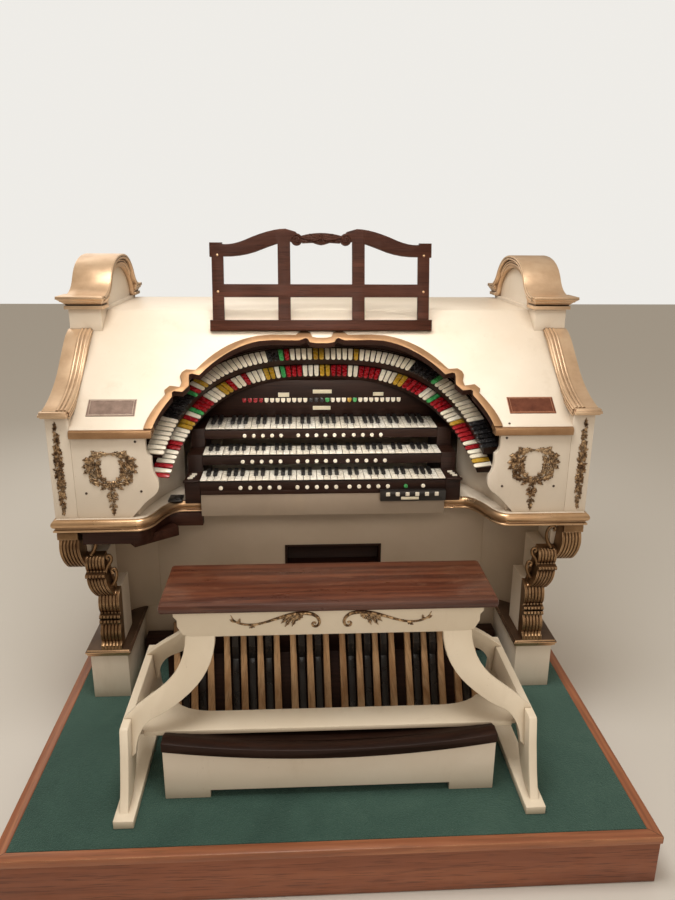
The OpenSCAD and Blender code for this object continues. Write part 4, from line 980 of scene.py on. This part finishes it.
def coloured_row(node, order, colours, name, seed):
    """Sorts a row's pieces along its run, gives each its cover and parts the row by colour."""
    row = dress(node, COVERS["W"][1], 0.0014, 40)
    if node in ARCHES:
        slimmed(row, 0.94)
        spaced(row, order, *ARCHES[node])
    toned(row, seed)
    keys = [key for key in COVERS if key in colours]
    row.data.materials.clear()
    for key in keys:
        row.data.materials.append(COVERS[key][1])
    parts = sorted(islands(row.data), key=lambda part: order(part[0]))
    assert len(parts) == len(colours), (node, len(parts), len(colours))
    for (_, faces), key in zip(parts, colours):
        for face in faces:
            face.material_index = keys.index(key)
    bpy.ops.object.select_all(action="DESELECT")
    bpy.context.view_layer.objects.active = row
    row.select_set(True)
    bpy.ops.object.mode_set(mode="EDIT")
    bpy.ops.mesh.separate(type="MATERIAL")
    bpy.ops.object.mode_set(mode="OBJECT")
    for piece in list(bpy.context.selected_objects):
        slots = piece.data.materials
        used = slots[min(piece.data.polygons[0].material_index, len(slots) - 1)]
        word, finish, slot = next(COVERS[key] for key in keys if COVERS[key][1] == used)
        finish_piece(piece, name + "_" + word, finish, slot, node)
        for face in piece.data.polygons:
            face.material_index = 0


def round_the_arch(centre):
    return -math.atan2((centre.y - HOME - RAIL_Y) / math.cos(RAIL_LEAN) - ARCH_FOOT, centre.x)


# Colours in order round each row: white, black, red, green and amber
OUTER = ("W" * 8 + "K" * 6 + "GRWA" + "W" * 13 + "KKGR" + "W" * 4 + "AA" + "W" * 5 + "A" + "W" * 10
         + "K" * 5 + "G" + "W" * 11 + "K" * 6)
INNER = "RWRWWWRRWWWAARWGRRRWWWAARWWRWWWAAWGRRRWWWAARRRWWRRRRWWWAARRRRWWGRRRWWWARRRRWRWWAW"
COUPLERS = "R" * 4 + "W" * 8 + "KKKG" + "WWWAG" + "W" * 8
coloured_row("stop_tabs_outer", round_the_arch, OUTER, "outer_tabs", 3)
coloured_row("stop_tabs_inner", round_the_arch, INNER, "inner_tabs", 5)
coloured_row("coupler_tabs", lambda centre: centre.x, COUPLERS, "coupler_tabs", 7)

# Keys: naturals in yellowed ivory-coloured covers, each a little different, and black
# sharps polished on top by the fingers. Their widths are shares of the solids' widths.
NATURALS_WIDE, SHARPS_WIDE = 0.955, 1.2
natural_cover = cover("natural_cover", (0.80, 0.73, 0.60), (0.93, 0.90, 0.82), (0.36, 0.26, 0.17))
naturals = dress("natural_keys", natural_cover, 0.0008)
toned(naturals, 11)
resized(naturals, NATURALS_WIDE)
sharp_cover = cover("sharp_cover", (0.008, 0.007, 0.007), (0.020, 0.018, 0.017), (0.003, 0.003, 0.003),
                    0.34, 0.0, 0.16)
sharps = dress("sharp_keys", sharp_cover, 0.0012)
toned(sharps, 12)
resized(sharps, SHARPS_WIDE)

# Pistons: domed white buttons set in the strips under the keys, with one green. They are
# a little larger than the solids and sit a little lower.
PISTONS_WIDE, PISTONS_LOWER = 1.22, 0.003
coloured_row("pistons", lambda centre: (round(centre.z, 2), centre.x),
             "W" * 16 + "G" + "W" + "W" * 15 + "W" * 15, "pistons", 13)
for piece in [made for made in bpy.data.objects if made.name.startswith("pistons_")]:
    resized(piece, PISTONS_WIDE, PISTONS_WIDE, PISTONS_LOWER)


# Panel of the lowest keyboard's frame: a dark box with rocker buttons on the right, a
# two-button plate on the left desk, and three small toggles on each key cheek.
def eased_block(low, high, round_by=0.001):
    """A block between two corners, made from a cube whose edges are bevelled."""
    bpy.ops.object.select_all(action="DESELECT")
    middle = [(a + b) / 2 for a, b in zip(low, high)]
    bpy.ops.mesh.primitive_cube_add(size=1, location=middle, scale=[b - a for a, b in zip(low, high)])
    bpy.ops.object.transform_apply(location=True, rotation=True, scale=True)
    bpy.ops.object.mode_set(mode="EDIT")
    bpy.ops.mesh.select_all(action="SELECT")
    bpy.ops.mesh.bevel(offset=round_by, segments=3, affect="EDGES", clamp_overlap=True)
    bpy.ops.object.mode_set(mode="OBJECT")
    bpy.ops.object.shade_smooth_by_angle(angle=math.radians(40))
    return bpy.context.object


black_cast = cover("black_cast", (0.010, 0.009, 0.009), (0.026, 0.023, 0.021), (0.004, 0.003, 0.003),
                   0.3, 0.2)
white_cast = cover("white_cast", (0.72, 0.66, 0.54), (0.84, 0.79, 0.68), (0.3, 0.2, 0.12), 0.25)
label = cover("pale_label", (0.66, 0.60, 0.44), (0.80, 0.75, 0.60), (0.3, 0.2, 0.12), 0.4, 0)
box = dress("control_box", black_cast, 0.002)
toned(box, 17)
BOX_FRONT = HOME - 0.014
caps = [eased_block((x - 0.007, BOX_FRONT - 0.0045, 0.8735), (x + 0.007, BOX_FRONT + 0.001, 0.8875), 0.0018)
        for x in (0.222, 0.256, 0.290, 0.324, 0.358, 0.392)]
finish_piece(joined(caps), "box_buttons", white_cast, "ivory")
finish_piece(eased_block((0.268, BOX_FRONT - 0.0012, 0.8600), (0.330, BOX_FRONT + 0.001, 0.8700), 0.0008),
             "box_label", label, "ivory")
plate = eased_block((-0.539, HOME + 0.013, 0.850), (-0.491, HOME + 0.070, 0.858), 0.002)
finish_piece(plate, "left_button_plate", black_cast, "black_box")
pair = [eased_block((x - 0.0085, HOME + 0.020, 0.857), (x + 0.0085, HOME + 0.062, 0.861), 0.0015)
        for x in (-0.5255, -0.5045)]
finish_piece(joined(pair), "left_plate_buttons", black_cast, "black_box")
toggles = []
for sign in (-1, 1):
    for k in range(3):
        x, y = sign * (0.459 - k * 0.0045), HOME + 0.014 + k * 0.020
        toggles.append(eased_block((x - 0.009, y, 0.9335), (x + 0.009, y + 0.009, 0.9395), 0.0015))
finish_piece(joined(toggles), "key_cheek_toggles", white_cast, "ivory")

# Nosing along the front of each lowest key cheek, a rounded lip that overhangs
lips = [eased_block((sign * 0.4265 - (0.0555 if sign < 0 else 0), HOME - 0.008, 0.926),
                    (sign * 0.4265 + (0.0555 if sign > 0 else 0), HOME + 0.004, 0.9355), 0.004)
        for sign in (-1, 1)]
finish_piece(joined(lips), "key_cheek_lips", stained, "dark_wood")

# Lower edge of the lowest key slip: a dark rail screwed on over the top of the apron
finish_piece(eased_block((-0.4244, HOME + 0.003, 0.8790), (0.4244, HOME + 0.010, 0.8945), 0.0015),
             "slip_rail", stained, "dark_wood")

# Blank name strips: thin ivory-coloured plastic pinned to the dark wood
strips = []
for x0, x1, z0, z1 in ((-0.030, 0.042, 1.156, 1.171), (-0.162, -0.120, 1.143, 1.160),
                       (0.201, 0.241, 1.146, 1.160), (-0.030, 0.038, 1.092, 1.107)):
    strips.append(eased_block((x0, HOME + 0.3535, z0), (x1, HOME + 0.3565, z1), 0.0013))
finish_piece(joined(strips), "name_strips", label, "ivory")

# Music desk: mahogany frame, moulded and carved by hand, with a scroll at each side of a
# small carved shell, and brass screws through the stiles.
mahogany = wood("desk_mahogany", (0.026, 0.008, 0.005), (0.056, 0.019, 0.011), (0.096, 0.032, 0.018), 1.3,
                rough=0.46, gloss=0.1)
dress("music_desk", mahogany, 0.003)
LEAN = math.radians(10)


def on_desk(x, up, out=0.0):
    """A point on the front face of the leaning desk."""
    foot_y, foot_z = HOME + 0.249, 1.4246
    return Vector((x, foot_y + up * math.sin(LEAN) - (0.018 + out) * math.cos(LEAN),
                   foot_z + up * math.cos(LEAN) + (0.018 + out) * math.sin(LEAN)))


screws = [stud(on_desk(x, up), math.pi / 2 - LEAN, 0.0045, 0.5)
          for x, up in ((-0.363, 0.245), (-0.363, 0.120), (0.363, 0.245), (0.363, 0.120))]
finish_piece(joined(screws), "desk_screws", gilding, "gold_leaf")
carved = []
for sign in (-1, 1):
    line, spline = rod("scroll", "POLY", 0.0028)
    spline.points.add(25)
    for k, point in enumerate(spline.points):
        a, r = k / 25 * 2.4 * math.pi, 0.0175 - 0.0125 * k / 25
        point.co = (*on_desk(sign * (0.0862 + r * math.cos(a)), 0.300 + r * math.sin(a)), 1)
    carved.append(as_mesh("scroll", line))
    bpy.ops.object.shade_smooth()
for x, up, heading, length, width in (
        (0, 0.304, 0, 0.070, 0.046), (0, 0.304, 180, 0.070, 0.046), (0, 0.300, 25, 0.046, 0.032),
        (0, 0.300, 155, 0.046, 0.032), (0, 0.306, -18, 0.046, 0.030), (0, 0.306, 198, 0.046, 0.030),
        (0, 0.297, 90, 0.024, 0.030)):
    a = math.radians(heading)
    mesh = leaf.copy()
    mesh.transform(Matrix(((math.sin(a) * width, math.cos(a) * length, 0, 0),
                           (-math.cos(a) * width, math.sin(a) * length, 0, 0),
                           (0, 0, 0.016, 0), (0, 0, 0, 1))))
    mesh.transform(Matrix.Translation(on_desk(x, up)) @ Matrix.Rotation(math.pi / 2 - LEAN, 4, "X"))
    carved.append(linked("carved", mesh))
finish_piece(joined(carved), "desk_carving", mahogany, "seat_wood")

# Pedalboard: maple naturals worn pale where the heels slide, black-capped sharps, a
# white heel board with a walnut rail.
maple, tree = empty_material("pedal_maple")
vector = object_vector(tree, ALONG_Y)
grain = use(tree, wood_figure, {"Vector": vector, "Scale": 1.6})
own = put(tree, "Attribute", attribute_name="tone").outputs["Fac"]
place = put(tree, "SeparateXYZ", {0: object_vector(tree)})
colour = ramp(tree, math_of(tree, "MULTIPLY_ADD", own, 0.2, math_of(tree, "MULTIPLY", grain["Figure"], 0.8)),
              (0.28, (0.27, 0.135, 0.058)), (0.5, (0.42, 0.235, 0.11)), (0.74, (0.54, 0.335, 0.175)))
worn = math_of(tree, "MULTIPLY", between(tree, place.outputs[1], 0.02, -0.38), between(
    tree, noise(tree, object_vector(tree, scale=(1, 0.25, 1)), 26, 4, 0.6), 0.40, 0.62))
colour = tinted(tree, colour, worn, 0.55, (0.66, 0.47, 0.28))
colour = tinted(tree, colour, grain["Pores"], 0.45, (0.12, 0.055, 0.025))
wear_and_shade = use(tree, edge_wear_and_corner_shade, {"Vector": vector, "Radius": 0.002})
# Corners darkened: part grime, part painted shade
colour = tinted(tree, colour, wear_and_shade["Corner_grime_and_shade"], 0.6, (0.06, 0.03, 0.015))
shaded(tree, Base_Color=colour, Roughness=between(tree, worn, 0.0, 1.0, 0.36, 0.5),
       Normal=bumped(tree, 0.2, 0.0005, grain["Height"]))
toned(dress("natural_pedals", maple, 0.0035), 21)
pedal_black = wood("pedal_black", (0.008, 0.007, 0.006), (0.014, 0.012, 0.011), (0.026, 0.021, 0.018), 1.5,
                   ALONG_Y, rough=0.3, wear=0.35, bare=(0.12, 0.07, 0.04))
dress("sharp_pedals", pedal_black, 0.003)
dress("pedal_heel_board", case_paint, 0.002)

# Shelf behind the heel rail: a stained board whose front edge rises towards its ends
# Under the bench, the board's darkness partly stands for the shade there: partly painted shade
SHELF_WIDTH, SHELF_FRONT, SHELF_BACK, SHELF_TOP = 0.972, -0.571, -0.498, 0.319
FRONT_RISE, BACK_RISE = 0.034, 0.004
bpy.ops.object.select_all(action="DESELECT")
bpy.ops.mesh.primitive_grid_add(x_subdivisions=24, y_subdivisions=1, size=1)
shelf = bpy.context.object
for vertex in shelf.data.vertices:
    x, at_front = vertex.co.x * SHELF_WIDTH, vertex.co.y < 0
    vertex.co = (x, HOME + (SHELF_FRONT if at_front else SHELF_BACK),
                 SHELF_TOP + (FRONT_RISE if at_front else BACK_RISE) * (x / 0.487) ** 2)
bpy.ops.object.mode_set(mode="EDIT")
bpy.ops.mesh.select_all(action="SELECT")
bpy.ops.mesh.extrude_region_shrink_fatten(TRANSFORM_OT_shrink_fatten={"value": -0.016})
bpy.ops.mesh.select_all(action="SELECT")
bpy.ops.mesh.normals_make_consistent(inside=False)
bpy.ops.object.mode_set(mode="OBJECT")
bpy.ops.object.shade_smooth_by_angle(angle=math.radians(40))
finish_piece(shelf, "heel_rail_shelf", stained, "dark_wood")

# Bench: a mahogany seat with a round nose, scuffed lighter and darker in patches and darker
# along its nose, on a painted apron and curved legs that stand on sledge feet over the pedals.
seat_wood, tree = empty_material("seat_mahogany")
vector = object_vector(tree)
grain = use(tree, wood_figure, {"Vector": vector, "Scale": 1.15})
place = put(tree, "SeparateXYZ", {0: vector})
colour = ramp(tree, grain["Figure"], (0.28, (0.050, 0.013, 0.007)), (0.44, (0.100, 0.028, 0.014)),
              (0.58, (0.155, 0.048, 0.023)), (0.76, (0.235, 0.085, 0.042)))
scuffed = noise(tree, object_vector(tree, scale=(0.35, 1.6, 1)), 13, 6, 0.72, 0.4)
colour = tinted(tree, colour, between(tree, scuffed, 0.55, 0.70), 0.5, (0.36, 0.17, 0.095))
colour = tinted(tree, colour, between(tree, scuffed, 0.42, 0.28), 0.7, (0.045, 0.013, 0.009))
# The seat is made darker towards its round nose
at_nose = between(tree, place.outputs[1], HOME - 0.500, HOME - 0.519)
colour = tinted(tree, colour, at_nose, 0.5, (0.045, 0.014, 0.009))
colour = tinted(tree, colour, grain["Pores"], 0.5, (0.025, 0.008, 0.005))
shaded(tree, Base_Color=colour, Roughness=between(tree, scuffed, 0.3, 0.7, 0.24, 0.42), Coat_Weight=0.3,
       Coat_Roughness=0.15, Normal=bumped(tree, 0.22, 0.0006, grain["Height"]))
dress("bench_seat", seat_wood, 0.011)
bench_paint = painted("bench_enamel", (0.80, 0.69, 0.53), (0.87, 0.78, 0.635), 0.6)
for node in ("bench_apron", "bench_legs", "bench_feet", "bench_footrest"):
    dress(node, bench_paint, 0.0025)

import json
